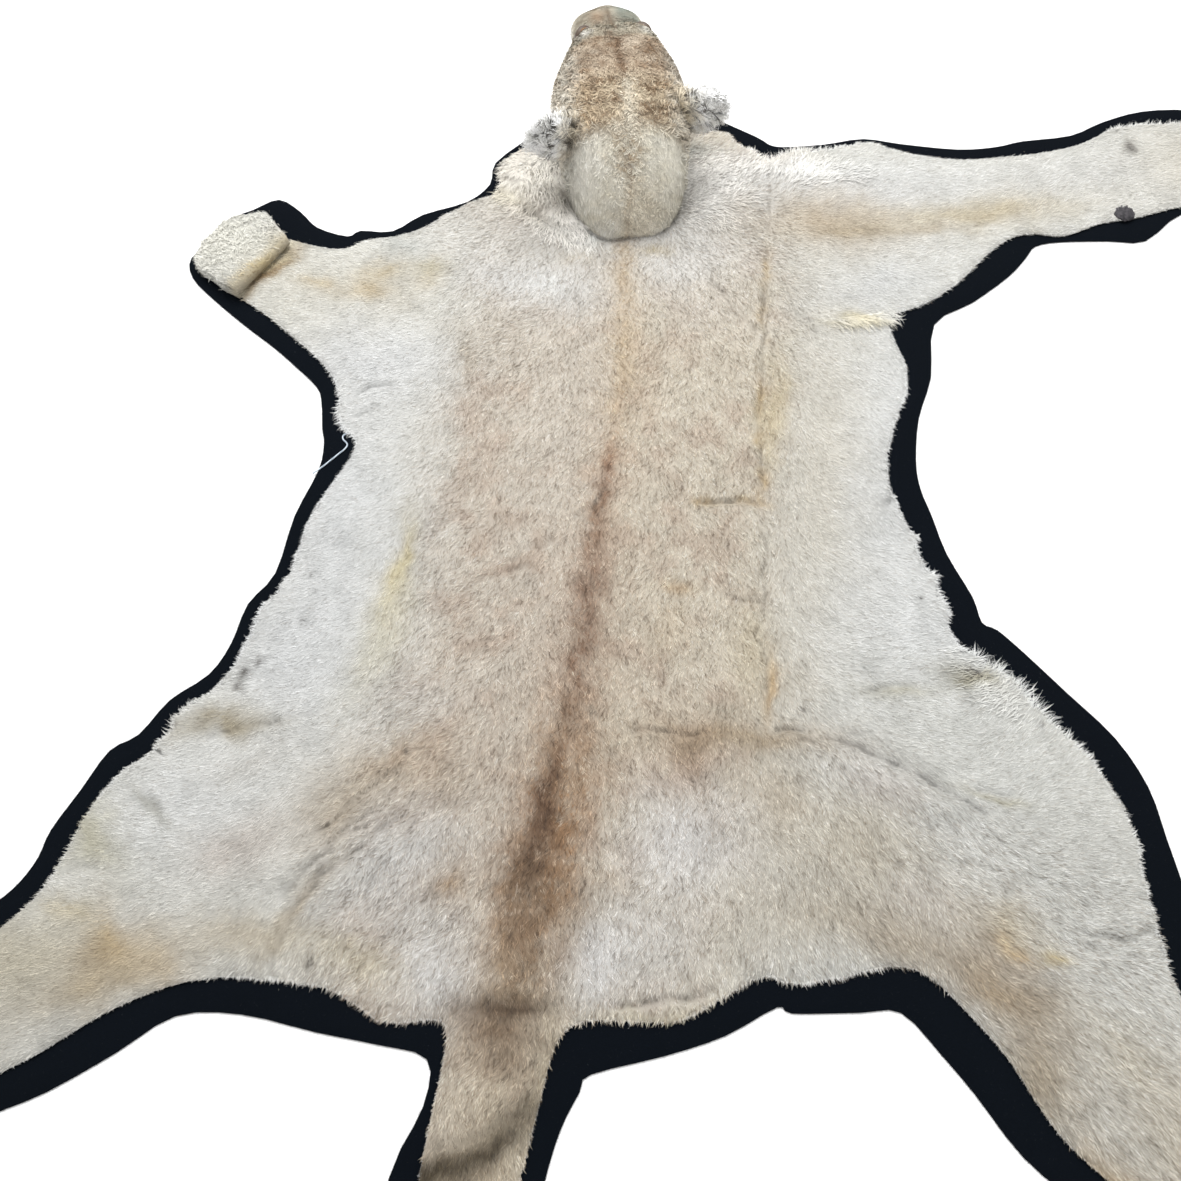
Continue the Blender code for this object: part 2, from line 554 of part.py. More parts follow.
def make_hide():
    outline = hide_outline()
    bm = flat_hide(outline)
    cut_lattice(bm)
    cut_creases(bm)
    rim = {v for e in bm.edges if e.is_boundary for v in e.verts}
    rim_places = [v.co.copy() for v in rim]
    tips = [place for place, thickness in outline if thickness == LOCK_TIP_THICKNESS]
    made = bmesh.ops.extrude_face_region(bm, geom=list(bm.faces))["geom"]
    top = [v for v in made if isinstance(v, bmesh.types.BMVert)]
    for vert in top:
        place = vert.co.to_2d()
        to_rim = min((vert.co - other).length for other in rim_places)
        at_tip = min((place - tip).length for tip in tips) < 1e-4
        vert.co.z = LOCK_TIP_THICKNESS if at_tip else hide_thickness(place, to_rim)
    flat = [f for f in bm.faces if all(abs(v.co.z) < 1e-7 for v in f.verts)]
    bmesh.ops.dissolve_faces(bm, faces=flat)
    bmesh.ops.triangulate(bm, faces=bm.faces)
    mesh = bm_to_mesh(bm, "hide")
    hide = add_object("hide", mesh, rug, make_material("lion_hair", HIDE_COLOUR, 0.8))
    hide.location.z = FELT_THICKNESS + GAP
    add_boolean(hide, make_folded_leg(), "UNION")
    add_boolean(hide, make_head_seat(), "DIFFERENCE")
    return hide


# The folded end of the left foreleg

def fold_line():
    """The middle line of the folded leg, seen from its side: out, back over itself, and out again."""
    low = FOLD_LAYER / 2
    turn = (FOLD_LAYER + FOLD_APART) / 2
    far = FOLD_LENGTH - turn - FOLD_LAYER / 2
    near = FOLD_ROLL_RADIUS + FOLD_LAYER / 2
    line = [Vector((FOLD_START, low))]
    line += [Vector((far + turn * math.sin(a), low + turn - turn * math.cos(a))) for a in half_turn(6)]
    middle = low + 2 * turn
    roll = FOLD_ROLL_RADIUS
    line += [Vector((near - roll * math.sin(a), middle + roll - roll * math.cos(a))) for a in half_turn(8)]
    top = middle + 2 * roll
    for k in range(1, FOLD_SAG_STEPS + 1):
        out = near + (FOLD_TOP_END - near) * k / FOLD_SAG_STEPS
        line.append(Vector((out, top - FOLD_SAG * bell(FOLD_TOP_END - out, FOLD_TOP_END - near))))
    return line


def half_turn(steps):
    return [math.pi * k / steps for k in range(steps + 1)]


def folded_section():
    """The closed outline of the folded strip, half a layer to each side of its middle line."""
    line = fold_line()
    sides = []
    for i, point in enumerate(line):
        along = (line[min(i + 1, len(line) - 1)] - line[max(i - 1, 0)]).normalized()
        sides.append((point, Vector((-along.y, along.x)) * FOLD_LAYER / 2))
    return [p + n for p, n in sides] + [p - n for p, n in reversed(sides)]


def fold_frame():
    """From the fold's own directions to the rug's: out along the leg, along the roll, and up."""
    along_roll = (FOLD_FRONT_END - FOLD_BACK_END).normalized().to_3d()
    frame = Matrix((UP.cross(along_roll), along_roll, UP)).transposed().to_4x4()
    frame.translation = FOLD_BACK_END.to_3d()
    return frame


def extrude_outline(name, outline, matrix, depth):
    """A closed solid from a flat outline, drawn in x and y, and placed by the matrix."""
    bm = bmesh.new()
    bm.faces.new([bm.verts.new((p.x, p.y, 0.0)) for p in outline])
    made = bmesh.ops.extrude_face_region(bm, geom=list(bm.faces))["geom"]
    raised = [v for v in made if isinstance(v, bmesh.types.BMVert)]
    bmesh.ops.translate(bm, verts=raised, vec=(0.0, 0.0, depth))
    bmesh.ops.transform(bm, matrix=matrix, verts=bm.verts)
    return bm_to_mesh(bm, name)


def flap_outline():
    """The plan of the folded end: out from the roll on the back side, round the tip and back on the front."""
    places = [Vector((corner.out, corner.along)) for corner in FLAP]
    outline = []
    for here, there, corner in zip(places, places[1:], FLAP):
        outline.append(here)
        if corner.ragged:
            middle = (here + there) / 2
            outline.append(middle + outward([here, middle, there], 1) * corner.ragged)
    return outline + [places[-1]]


def make_folded_leg():
    """The strip of the leg folded back and forth, trimmed to the plan of the flap."""
    side_on = Matrix(((1, 0, 0, 0), (0, 0, -1, 0), (0, 1, 0, 0), (0, 0, 0, 1)))
    strip_start = fold_frame() @ Matrix.Translation((0.0, FOLD_CUT_WIDTH - FOLD_CUT_MARGIN, 0.0)) @ side_on
    strip_mesh = extrude_outline("folded_leg", folded_section(), strip_start, FOLD_CUT_WIDTH)
    strip = make_cutter("folded_leg", strip_mesh)
    plan_start = fold_frame() @ Matrix.Translation((0.0, 0.0, -FOLD_CUT_MARGIN))
    plan_mesh = extrude_outline("flap_plan", flap_outline(), plan_start, FOLD_CUT_HEIGHT)
    plan = make_cutter("flap_plan", plan_mesh)
    add_boolean(strip, plan, "INTERSECT")
    strip.location.z = FELT_THICKNESS + GAP + FOLD_LIFT
    return strip


# The head

def head_frame():
    """From the head's own directions, right, forward and up from the nape, to the rug's."""
    return Matrix.Translation(HEAD_NAPE) @ Matrix.Rotation(HEAD_TURN, 4, "Z")


def head_sections():
    """The sections of the table and the smooth steps between them, without their names."""
    rows = [Vector((s.half, s.top, s.widest, s.under, s.jaw)) for s in HEAD]
    places = [Vector((s.forward, 0.0)) for s in HEAD]
    made = []
    for i in range(len(HEAD) - 1):
        ends = (max(i - 1, 0), i, i + 1, min(i + 2, len(HEAD) - 1))
        for k in range(HEAD_STEPS):
            t = k / HEAD_STEPS
            forward = spline_point(*(places[e] for e in ends), t).x
            made.append((forward, *spline_point(*(rows[e] for e in ends), t)))
    return made + [(places[-1].x, *rows[-1])]


def head_ring(forward, half, top, widest, under, jaw):
    """One section of the head: a round top on sides that draw in towards the jaw."""
    ring = []
    for k in range(HEAD_SIDES):
        angle = 2 * math.pi * k / HEAD_SIDES
        across = math.copysign(abs(math.cos(angle)) ** HEAD_FLATNESS_ACROSS, math.cos(angle)) * half
        lift = math.copysign(abs(math.sin(angle)) ** HEAD_FLATNESS_UP, math.sin(angle))
        room = top - widest if lift > 0 else widest - under
        narrow = 1.0 if lift > 0 else 1.0 + (1.0 - jaw) * lift
        ring.append(Vector((across * narrow, forward, widest + lift * room)))
    return ring


def swell_head(bm):
    """Raises the brows, cheeks and whisker pads, and sinks the hollows, square to the surface."""
    bm.normal_update()
    pushes = []
    for vert in bm.verts:
        place = Vector((vert.co.y, abs(vert.co.x), vert.co.z))
        rise = sum(
            s.rise * bell((place - Vector((s.forward, s.out, s.up))).length, s.radius) for s in HEAD_SWELLS
        )
        pushes.append((vert, vert.normal * rise))
    for vert, push in pushes:
        vert.co += push


def head_mesh(name):
    bm = bmesh.new()
    rings = [[bm.verts.new(p) for p in head_ring(*section)] for section in head_sections()]
    for ring, following in zip(rings, rings[1:]):
        for k in range(HEAD_SIDES):
            after = (k + 1) % HEAD_SIDES
            bm.faces.new((ring[k], ring[after], following[after], following[k]))
    bmesh.ops.contextual_create(bm, geom=rings[0])
    bmesh.ops.contextual_create(bm, geom=rings[-1])
    bmesh.ops.poke(bm, faces=[f for f in bm.faces if len(f.verts) > 4])
    bmesh.ops.recalc_face_normals(bm, faces=bm.faces)
    swell_head(bm)
    bmesh.ops.transform(bm, matrix=head_frame(), verts=bm.verts)
    return bm_to_mesh(bm, name)


def box_cutter(name, low, high):
    bm = bmesh.new()
    bmesh.ops.create_cube(bm, size=1.0)
    bmesh.ops.scale(bm, vec=high - low, verts=bm.verts)
    bmesh.ops.translate(bm, vec=(low + high) / 2, verts=bm.verts)
    return make_cutter(name, bm_to_mesh(bm, name))


def grown_head(name):
    """The head grown by the gap all round, to cut what stands against it."""
    ob = make_cutter(name, head_mesh(name))
    grow = ob.modifiers.new("gap", "DISPLACE")
    grow.mid_level = 0.0
    grow.strength = 2 * GAP
    return ob


def make_head_seat():
    """What the head takes out of the hide, above the flat bed that it rests on."""
    seat = grown_head("head_seat")
    low = HEAD_NAPE - Vector((SEAT_REACH, SEAT_REACH, SEAT_REACH))
    high = HEAD_NAPE + Vector((SEAT_REACH, SEAT_REACH, BED_TOP))
    below = box_cutter("bed", low, high)
    add_boolean(seat, below, "DIFFERENCE")
    return seat


def make_ground():
    """The floor, and on it the step of the felt and the hide's neck, which the head sits over."""
    outline = felt_outline()
    right_end, left_end = outline[-1].to_3d(), outline[0].to_3d()
    across = (left_end - right_end).normalized()
    forward = across.cross(UP)
    step = BED_TOP + GAP
    far = SEAT_REACH
    profile = [(-far, -far), (far, -far), (far, 0.0), (GAP, 0.0), (GAP, step), (-far, step)]
    frame = Matrix((forward, UP, across)).transposed().to_4x4()
    frame.translation = (left_end + right_end) / 2 - across * far
    return make_cutter("ground", extrude_outline("ground", [Vector(p) for p in profile], frame, 2 * far))


def make_head():
    head = add_object("head", head_mesh("head"), rug, make_material("head_skin", HEAD_COLOUR, 0.85))
    shade_round(head)
    add_boolean(head, make_ground(), "DIFFERENCE")
    for side in (-1, 1):
        add_boolean(head, make_ball(f"socket_{side}", side, EYE_RADIUS + GAP, cutters), "DIFFERENCE")
    return head


def make_ball(name, side, radius, collection, material=None):
    forward, out, up = EYE_PLACE
    bm = bmesh.new()
    bmesh.ops.create_uvsphere(bm, u_segments=16, v_segments=10, radius=radius)
    place = head_frame() @ Matrix.Translation((side * out, forward, up))
    bmesh.ops.transform(bm, matrix=place @ Matrix.Rotation(math.radians(90), 4, "X"), verts=bm.verts)
    mesh = bm_to_mesh(bm, name)
    if collection is cutters:
        return make_cutter(name, mesh)
    ball = add_object(name, mesh, collection, material)
    shade_round(ball)
    return ball


def make_eyes():
    material = make_material("glass_eye", EYE_COLOUR, 0.1)
    for name, side in (("eye_left", -1), ("eye_right", 1)):
        make_ball(name, side, EYE_RADIUS, rug, material)


# The ears

def make_ear(ear, material):
    """A short round ear: a squashed ball, hollowed on its front face, tipped outwards from the head."""
    bm = bmesh.new()
    bmesh.ops.create_uvsphere(bm, u_segments=16, v_segments=10, radius=0.5)
    bmesh.ops.scale(bm, vec=(EAR_WIDTH, EAR_THICKNESS, EAR_HEIGHT), verts=bm.verts)
    for vert in bm.verts:
        radius = math.hypot(vert.co.x / EAR_WIDTH, vert.co.z / EAR_HEIGHT) * 2
        if vert.co.y > 0 and radius < 0.95:
            vert.co.y -= EAR_HOLLOW * vert.co.y * (1 - radius ** 2)
    tip_over = Matrix.Rotation(math.radians(ear.side * ear.splay), 4, "Y")
    face_out = Matrix.Rotation(-ear.side * EAR_TURN, 4, "Z")
    place = Matrix.Translation((ear.side * ear.out, ear.forward, ear.up))
    bmesh.ops.transform(bm, matrix=head_frame() @ place @ face_out @ tip_over, verts=bm.verts)
    ob = add_object(ear.name, bm_to_mesh(bm, ear.name), rug, material)
    shade_round(ob)
    add_boolean(ob, grown_head("clear_of_" + ear.name), "DIFFERENCE")
    return ob


# The loose thread

def make_thread():
    curve = bpy.data.curves.new("loose_thread", "CURVE")
    curve.dimensions = "3D"
    curve.bevel_depth = THREAD_DIAMETER / 2
    curve.bevel_resolution = 2
    curve.use_fill_caps = True
    height = FELT_THICKNESS + GAP + THREAD_DIAMETER / 2
    route = [Vector((x, y)) for x, y in THREAD_ROUTE]
    places = []
    for i in range(len(route) - 1):
        a, b, c, d = route[max(i - 1, 0)], route[i], route[i + 1], route[min(i + 2, len(route) - 1)]
        steps = max(1, round((c - b).length / THREAD_STEP))
        places += [spline_point(a, b, c, d, k / steps) for k in range(steps)]
    places.append(route[-1])
    spline = curve.splines.new("POLY")
    spline.points.add(len(places) - 1)
    for point, place in zip(spline.points, places):
        point.co = (place.x, place.y, height, 1.0)
    return add_object("loose_thread", curve, rug, make_material("thread", THREAD_COLOUR, 0.7))


def centre_on_footprint(felt, head):
    """Puts the origin under the middle of the rug's footprint, on the floor."""
    bpy.context.view_layer.update()
    corners = [felt.matrix_world @ Vector(corner) for corner in felt.bound_box]
    front = max(v.co.y for v in head.data.vertices)
    middle_x = (min(c.x for c in corners) + max(c.x for c in corners)) / 2
    middle_y = (min(c.y for c in corners) + front) / 2
    origin = bpy.data.objects.new("rug_origin", None)
    rug.objects.link(origin)
    origin.location = (-middle_x, -middle_y, 0.0)
    for ob in list(rug.objects) + list(cutters.objects):
        if ob is not origin:
            ob.parent = origin


clear_scene()
rug = make_collection("lion_skin_rug")
cutters = make_collection("cutters")
felt_backing = make_felt()
make_hide()
head = make_head()
make_eyes()
ear_material = make_material("ear_hair", EAR_COLOUR, 0.85)
for one in EARS:
    make_ear(one, ear_material)
make_thread()
centre_on_footprint(felt_backing, head)
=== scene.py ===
import json
import math

import bmesh
import bpy
import numpy as np
from mathutils import Matrix, Vector
from mathutils.geometry import delaunay_2d_cdt

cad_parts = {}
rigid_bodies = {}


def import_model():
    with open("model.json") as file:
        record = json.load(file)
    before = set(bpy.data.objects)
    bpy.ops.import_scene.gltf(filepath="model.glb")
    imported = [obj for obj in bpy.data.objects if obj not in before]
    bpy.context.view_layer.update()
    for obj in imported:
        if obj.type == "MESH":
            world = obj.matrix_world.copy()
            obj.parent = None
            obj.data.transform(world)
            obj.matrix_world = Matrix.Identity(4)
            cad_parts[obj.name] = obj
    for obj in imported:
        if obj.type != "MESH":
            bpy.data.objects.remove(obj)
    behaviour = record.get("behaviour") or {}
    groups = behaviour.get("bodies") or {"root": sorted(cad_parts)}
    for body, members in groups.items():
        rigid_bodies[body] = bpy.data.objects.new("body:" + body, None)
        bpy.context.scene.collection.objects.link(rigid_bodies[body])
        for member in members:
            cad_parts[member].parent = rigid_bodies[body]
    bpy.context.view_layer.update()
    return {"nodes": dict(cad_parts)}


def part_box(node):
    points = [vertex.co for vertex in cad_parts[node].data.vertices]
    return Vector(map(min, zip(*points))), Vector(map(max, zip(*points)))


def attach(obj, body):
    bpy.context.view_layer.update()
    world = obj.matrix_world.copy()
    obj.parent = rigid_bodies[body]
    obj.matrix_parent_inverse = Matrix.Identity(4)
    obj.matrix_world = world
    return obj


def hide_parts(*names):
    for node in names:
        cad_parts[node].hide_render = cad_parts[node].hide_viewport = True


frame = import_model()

bpy.context.scene.view_settings.view_transform = "Standard"


# The camera
# The rug is looked down on from above its tail end, from about eye height, with the head farthest off. The
# view is tilted 23 degrees from straight down.

bpy.ops.object.camera_add(
    location=(0.0200, -0.4901, 1.56), rotation=(math.radians(23.4), 0.0, math.radians(6.7)),
)
camera = bpy.context.object
camera.data.lens = 36.0
camera.data.sensor_width = 36.0
bpy.context.scene.camera = camera


# The loose thread
# A short end of pale string, two yarns twisted together, left over from sewing the skin to its backing. It
# lies on the felt from a small hook at the hide's left armpit to the felt's edge, where it was cut.

THREAD_DIAMETER = 0.0024
THREAD_HEIGHT = 0.0045
THREAD_STEP = 0.0034
YARN_PITCH = 0.0009
# Points of a mesh closer together than this are one point
MERGE = 0.00001
THREAD_ROUTE = (
    (-0.45547, 0.39467), (-0.46047, 0.39217), (-0.46247, 0.38767), (-0.46047, 0.38217), (-0.45547, 0.37867),
    (-0.45247, 0.37367), (-0.45547, 0.36667), (-0.46247, 0.35767), (-0.47047, 0.34767), (-0.47847, 0.33767),
    (-0.48647, 0.32817), (-0.49447, 0.31967),
)


def dye(red, green, blue):
    """A colour as seen on the object, from 0 to 255, as the light that it reflects."""
    seen = np.array((red, green, blue), float) / 255.0
    return np.where(seen <= 0.04045, seen / 12.92, ((seen + 0.055) / 1.055) ** 2.4)


def finish_material(name, roughness):
    """A new material with its shader, whose colour comes from nodes."""
    material = bpy.data.materials.new(name)
    material.use_nodes = True
    shader = material.node_tree.nodes["Principled BSDF"]
    shader.inputs["Roughness"].default_value = roughness
    return material, material.node_tree, shader


def node_in(tree, kind, **values):
    """Adds a node. Values named like its inputs go on their sockets, and the others on the node itself."""
    node = tree.nodes.new(kind)
    for key, value in values.items():
        if key in node.inputs:
            node.inputs[key].default_value = value
        else:
            setattr(node, key, value)
    return node


def wire(tree, *links):
    """Joins nodes. Each link says the node, its output, the next node and its input."""
    for source, output, target, entry in links:
        tree.links.new(source.outputs[output], target.inputs[entry])


def ramp_in(tree, *stops):
    """Adds a colour ramp with a colour at each of the given places."""
    ramp = node_in(tree, "ShaderNodeValToRGB")
    while len(ramp.color_ramp.elements) < len(stops):
        ramp.color_ramp.elements.new(0.5)
    for element, (at, colour) in zip(ramp.color_ramp.elements, stops):
        element.position = at
        element.color = (*colour, 1.0)
    return ramp


def own_numbers(piece, name, values):
    """Gives each point of the mesh a number that its material can read."""
    attribute = piece.data.attributes.new(name, "FLOAT", "POINT")
    attribute.data.foreach_set("value", np.asarray(values, np.float32))


def run_along(points):
    """How far along a line through the points each of them is."""
    return np.concatenate(([0.0], np.cumsum(np.linalg.norm(np.diff(points, axis=0), axis=1))))


def route_between(points, step):
    """Even points on a smooth line through the given ones."""
    fine = []
    for i in range(len(points) - 1):
        before, here = points[max(i - 1, 0)], points[i]
        there, after = points[i + 1], points[min(i + 2, len(points) - 1)]
        for k in range(20):
            t = k / 20
            fine.append(0.5 * (
                2 * here + (there - before) * t + (2 * before - 5 * here + 4 * there - after) * t * t
                + (3 * here - before - 3 * there + after) * t ** 3
            ))
    fine.append(points[-1])
    fine = np.array(fine)
    run = run_along(fine)
    even = np.linspace(0.0, run[-1], max(2, round(run[-1] / step)) + 1)
    return np.stack([np.interp(even, run, fine[:, k]) for k in range(fine.shape[1])], axis=1), run[-1]


def only(piece):
    """Selects the piece on its own and makes it the active one."""
    bpy.ops.object.select_all(action="DESELECT")
    piece.select_set(True)
    bpy.context.view_layer.objects.active = piece


def edit_whole():
    """Puts the active piece in edit mode with all of its mesh selected."""
    bpy.ops.object.mode_set(mode="EDIT")
    bpy.ops.mesh.select_all(action="SELECT")


thread_line, thread_length = route_between(
    [np.array((x, y, THREAD_HEIGHT)) for x, y in THREAD_ROUTE], THREAD_STEP
)
thread_curve = bpy.data.curves.new("loose_thread_end", "CURVE")
thread_curve.dimensions = "3D"
thread_curve.bevel_depth = THREAD_DIAMETER / 2
thread_curve.bevel_resolution = 4
thread_curve.use_fill_caps = True
thread_spline = thread_curve.splines.new("POLY")
thread_spline.points.add(len(thread_line) - 1)
for thread_point, place in zip(thread_spline.points, thread_line):
    thread_point.co = (*place, 1.0)
thread = bpy.data.objects.new("loose_thread_end", thread_curve)
bpy.context.collection.objects.link(thread)
only(thread)
bpy.ops.object.convert(target="MESH")
edit_whole()
bpy.ops.mesh.remove_doubles(threshold=MERGE)
bpy.ops.mesh.normals_make_consistent(inside=False)
bpy.ops.object.mode_set(mode="OBJECT")
bpy.ops.object.shade_smooth_by_angle(angle=math.radians(50))

thread_run = run_along(thread_line)
thread_places = np.array([v.co for v in thread.data.vertices])
nearest = np.argmin(np.linalg.norm(thread_places[:, None] - thread_line[None], axis=2), axis=1)
thread_side = thread_places - thread_line[nearest]
thread_way = np.gradient(thread_line, axis=0)[nearest]
thread_way /= np.linalg.norm(thread_way, axis=1)[:, None]
level = np.stack((-thread_way[:, 1], thread_way[:, 0], np.zeros(len(nearest))), axis=1)
twist = np.arctan2(thread_side[:, 2], np.sum(thread_side * level, axis=1)) + thread_run[nearest] / YARN_PITCH
own_numbers(thread, "yarn_round", np.sin(2 * twist))

thread_material, thread_tree, thread_shader = finish_material("twisted thread", 0.78)
thread_yarn = node_in(thread_tree, "ShaderNodeAttribute", attribute_name="yarn_round")
thread_place = node_in(thread_tree, "ShaderNodeTexCoord")
thread_fluff = node_in(thread_tree, "ShaderNodeTexNoise", Scale=900.0, Detail=3.0)
# Painted shade: the grooves between the two yarns are darker bluish grey than the pale string
thread_ramp = ramp_in(thread_tree, (0.1, dye(120, 135, 150)), (0.8, dye(205, 214, 222)))
thread_mix = node_in(thread_tree, "ShaderNodeMath", operation="MULTIPLY_ADD")
thread_mix.inputs[1].default_value = 0.3
thread_bump = node_in(thread_tree, "ShaderNodeBump", Strength=0.6, Distance=0.0006)
wire(
    thread_tree, (thread_place, "Object", thread_fluff, "Vector"), (thread_yarn, "Fac", thread_mix, 0),
    (thread_fluff, "Fac", thread_mix, 2), (thread_mix, "Value", thread_ramp, "Fac"),
    (thread_ramp, "Color", thread_shader, "Base Color"), (thread_mix, "Value", thread_bump, "Height"),
    (thread_bump, "Normal", thread_shader, "Normal"),
)
thread.data.materials.clear()
thread.data.materials.append(thread_material)
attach(thread, "root")
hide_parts("loose_thread")


# The felt backing
# Black wool felt, 3 mm thick, cut by hand a few centimetres wider than the skin with a smooth wavy edge. The
# skin lies on it and was sewn down from below. Its cut edge and its face are fuzzy with short fibres.

FELT_THICKNESS = 0.003
FELT_LATTICE = 0.030
FELT_FIBRES = 24000


def under_outline(node):
    """The outline of a flat node's underside, in order round it, against the clock as seen from above."""
    bm = bmesh.new()
    bm.from_mesh(frame["nodes"][node].data)
    bmesh.ops.remove_doubles(bm, verts=bm.verts, dist=MERGE)
    lowest = min(vert.co.z for vert in bm.verts)
    under = {face for face in bm.faces if all(vert.co.z < lowest + 0.0001 for vert in face.verts)}
    after = {}
    for face in under:
        for loop in face.loops:
            if any(other not in under for other in loop.edge.link_faces):
                after[loop.link_loop_next.vert.index] = loop.vert.index
    bm.verts.ensure_lookup_table()
    start = min(after)
    order, here = [start], after[start]
    while here != start:
        order.append(here)
        here = after[here]
    outline = np.array([bm.verts[i].co[:2] for i in order])
    bm.free()
    return outline


def inside(outline, x, y):
    """Which of the points lie within the outline."""
    found = np.zeros(len(x), bool)
    for (ax, ay), (bx, by) in zip(outline, np.roll(outline, -1, axis=0)):
        if ay != by:
            crosses = (ay > y) != (by > y)
            found ^= crosses & (x < (bx - ax) * (y - ay) / (by - ay) + ax)
    return found


def hashed(a, b, seed):
    """A steady number from 0 to 1 for each pair of whole numbers."""
    mixed = np.sin(a * 127.1 + b * 311.7 + seed * 74.7) * 43758.5453
    return mixed - np.floor(mixed)


def drift(x, y, size, seed):
    """A soft change over the piece, from -1 to 1, in lumps of the given size."""
    u, v = x / size, y / size
    a, b = np.floor(u), np.floor(v)
    s, t = u - a, v - b
    s, t = s * s * (3 - 2 * s), t * t * (3 - 2 * t)
    low = hashed(a, b, seed) * (1 - s) + hashed(a + 1, b, seed) * s
    high = hashed(a, b + 1, seed) * (1 - s) + hashed(a + 1, b + 1, seed) * s
    return 2 * (low * (1 - t) + high * t) - 1


def even_steps(outline, count):
    """Places along a closed outline, and the way that is outwards from each."""
    closed = np.vstack((outline, outline[:1]))
    run = run_along(closed)
    at = np.linspace(0.0, run[-1], count, endpoint=False)
    place = np.stack([np.interp(at, run, closed[:, k]) for k in (0, 1)], axis=1)
    piece_of = np.clip(np.searchsorted(run, at, side="right") - 1, 0, len(outline) - 1)
    way = (closed[1:] - closed[:-1])[piece_of]
    way /= np.linalg.norm(way, axis=1)[:, None]
    return place, np.stack((way[:, 1], -way[:, 0]), axis=1)


def strands(name, spines, sides, widths, colours):
    """One mesh of flat tapering hairs, whose own map gives every hair its own small cell.

    Each hair has a spine of points, of which the last is the tip, a side that it is broad in, a half width at
    each point, the same for all hairs or one row for each hair, and a colour at each point."""
    count, steps, _ = spines.shape
    widths = np.broadcast_to(widths, (count, steps))
    left = spines[:, :-1] - sides[:, None] * widths[:, :-1, None]
    right = spines[:, :-1] + sides[:, None] * widths[:, :-1, None]
    places = np.empty((count, 2 * steps - 1, 3), np.float32)
    places[:, 0:-1:2] = left
    places[:, 1:-1:2] = right
    places[:, -1] = spines[:, -1]
    shades = np.ones((count, 2 * steps - 1, 4), np.float32)
    shades[:, 0:-1:2, :3] = colours[:, :-1]
    shades[:, 1:-1:2, :3] = colours[:, :-1]
    shades[:, -1, :3] = colours[:, -1]
    corners = []
    for k in range(steps - 2):
        corners += [2 * k, 2 * k + 1, 2 * k + 3, 2 * k, 2 * k + 3, 2 * k + 2]
    corners += [2 * steps - 4, 2 * steps - 3, 2 * steps - 2]
    corners = np.array(corners)
    faces = count * len(corners) // 3
    index = (np.arange(count)[:, None] * (2 * steps - 1) + corners[None]).ravel()
    mesh = bpy.data.meshes.new(name)
    mesh.vertices.add(count * (2 * steps - 1))
    mesh.vertices.foreach_set("co", places.ravel())
    mesh.loops.add(len(index))
    mesh.loops.foreach_set("vertex_index", index.astype(np.int32))
    mesh.polygons.add(faces)
    mesh.polygons.foreach_set("loop_start", np.arange(faces, dtype=np.int32) * 3)
    mesh.polygons.foreach_set("loop_total", np.full(faces, 3, np.int32))
    across = math.ceil(math.sqrt(count))
    cell = np.stack((np.arange(count) % across, np.arange(count) // across), axis=1) / across
    spot = np.empty((2 * steps - 1, 2))
    spot[0:-1:2, 0] = 0.12
    spot[1:-1:2, 0] = 0.88
    spot[0:-1:2, 1] = spot[1:-1:2, 1] = 0.1 + 0.8 * np.arange(steps - 1) / (steps - 1)
    spot[-1] = (0.5, 0.9)
    flat = (cell[:, None] + spot[None] / across)[:, corners].reshape(-1, 2)
    own_map = mesh.uv_layers.new(name="OFBake")
    own_map.data.foreach_set("uv", flat.astype(np.float32).ravel())
    mesh.update(calc_edges=True)
    tint = mesh.color_attributes.new("hair_colour", "FLOAT_COLOR", "POINT")
    tint.data.foreach_set("color", shades.ravel())
    piece = bpy.data.objects.new(name, mesh)
    bpy.context.collection.objects.link(piece)
    return piece


def turned_by(ways, angle):
    """Level ways, each turned by its own angle."""
    c, s = np.cos(angle), np.sin(angle)
    return np.stack((ways[:, 0] * c - ways[:, 1] * s, ways[:, 0] * s + ways[:, 1] * c), axis=1)


felt_outline = under_outline("felt_backing")
low, high = felt_outline.min(axis=0), felt_outline.max(axis=0)
rows = np.arange(low[1], high[1], FELT_LATTICE)
columns = np.arange(low[0], high[0], FELT_LATTICE)
lattice_x, lattice_y = (grid.ravel() for grid in np.meshgrid(columns, rows))
lattice_x = lattice_x + (hashed(lattice_x * 977, lattice_y * 977, 1) - 0.5) * 0.3 * FELT_LATTICE
near_rim = np.zeros(len(lattice_x), bool)
for corner in felt_outline:
    near_rim |= np.hypot(lattice_x - corner[0], lattice_y - corner[1]) < 0.4 * FELT_LATTICE
kept = inside(felt_outline, lattice_x, lattice_y) & ~near_rim
points = [Vector(corner) for corner in felt_outline] + [
    Vector(place) for place in zip(lattice_x[kept], lattice_y[kept])
]
places, _, triangles, *_ = delaunay_2d_cdt(points, [], [list(range(len(felt_outline)))], 1, MERGE)
felt_mesh = bpy.data.meshes.new("felt_sheet")
felt_mesh.from_pydata([(p.x, p.y, FELT_THICKNESS) for p in places], [], [list(face) for face in triangles])
felt = bpy.data.objects.new("felt_sheet", felt_mesh)
bpy.context.collection.objects.link(felt)
only(felt)
edit_whole()
bpy.ops.mesh.normals_make_consistent(inside=False)
bpy.ops.object.mode_set(mode="OBJECT")
if felt_mesh.polygons[0].normal.z < 0:
    felt_mesh.flip_normals()
thickness = felt.modifiers.new("thickness", "SOLIDIFY")
thickness.thickness = FELT_THICKNESS
thickness.offset = -1.0
bpy.ops.object.modifier_apply(modifier="thickness")
edge_round = felt.modifiers.new("edge", "BEVEL")
edge_round.width = 0.0008
edge_round.segments = 2
edge_round.limit_method = "ANGLE"
edge_round.angle_limit = math.radians(60)
bpy.ops.object.modifier_apply(modifier="edge")
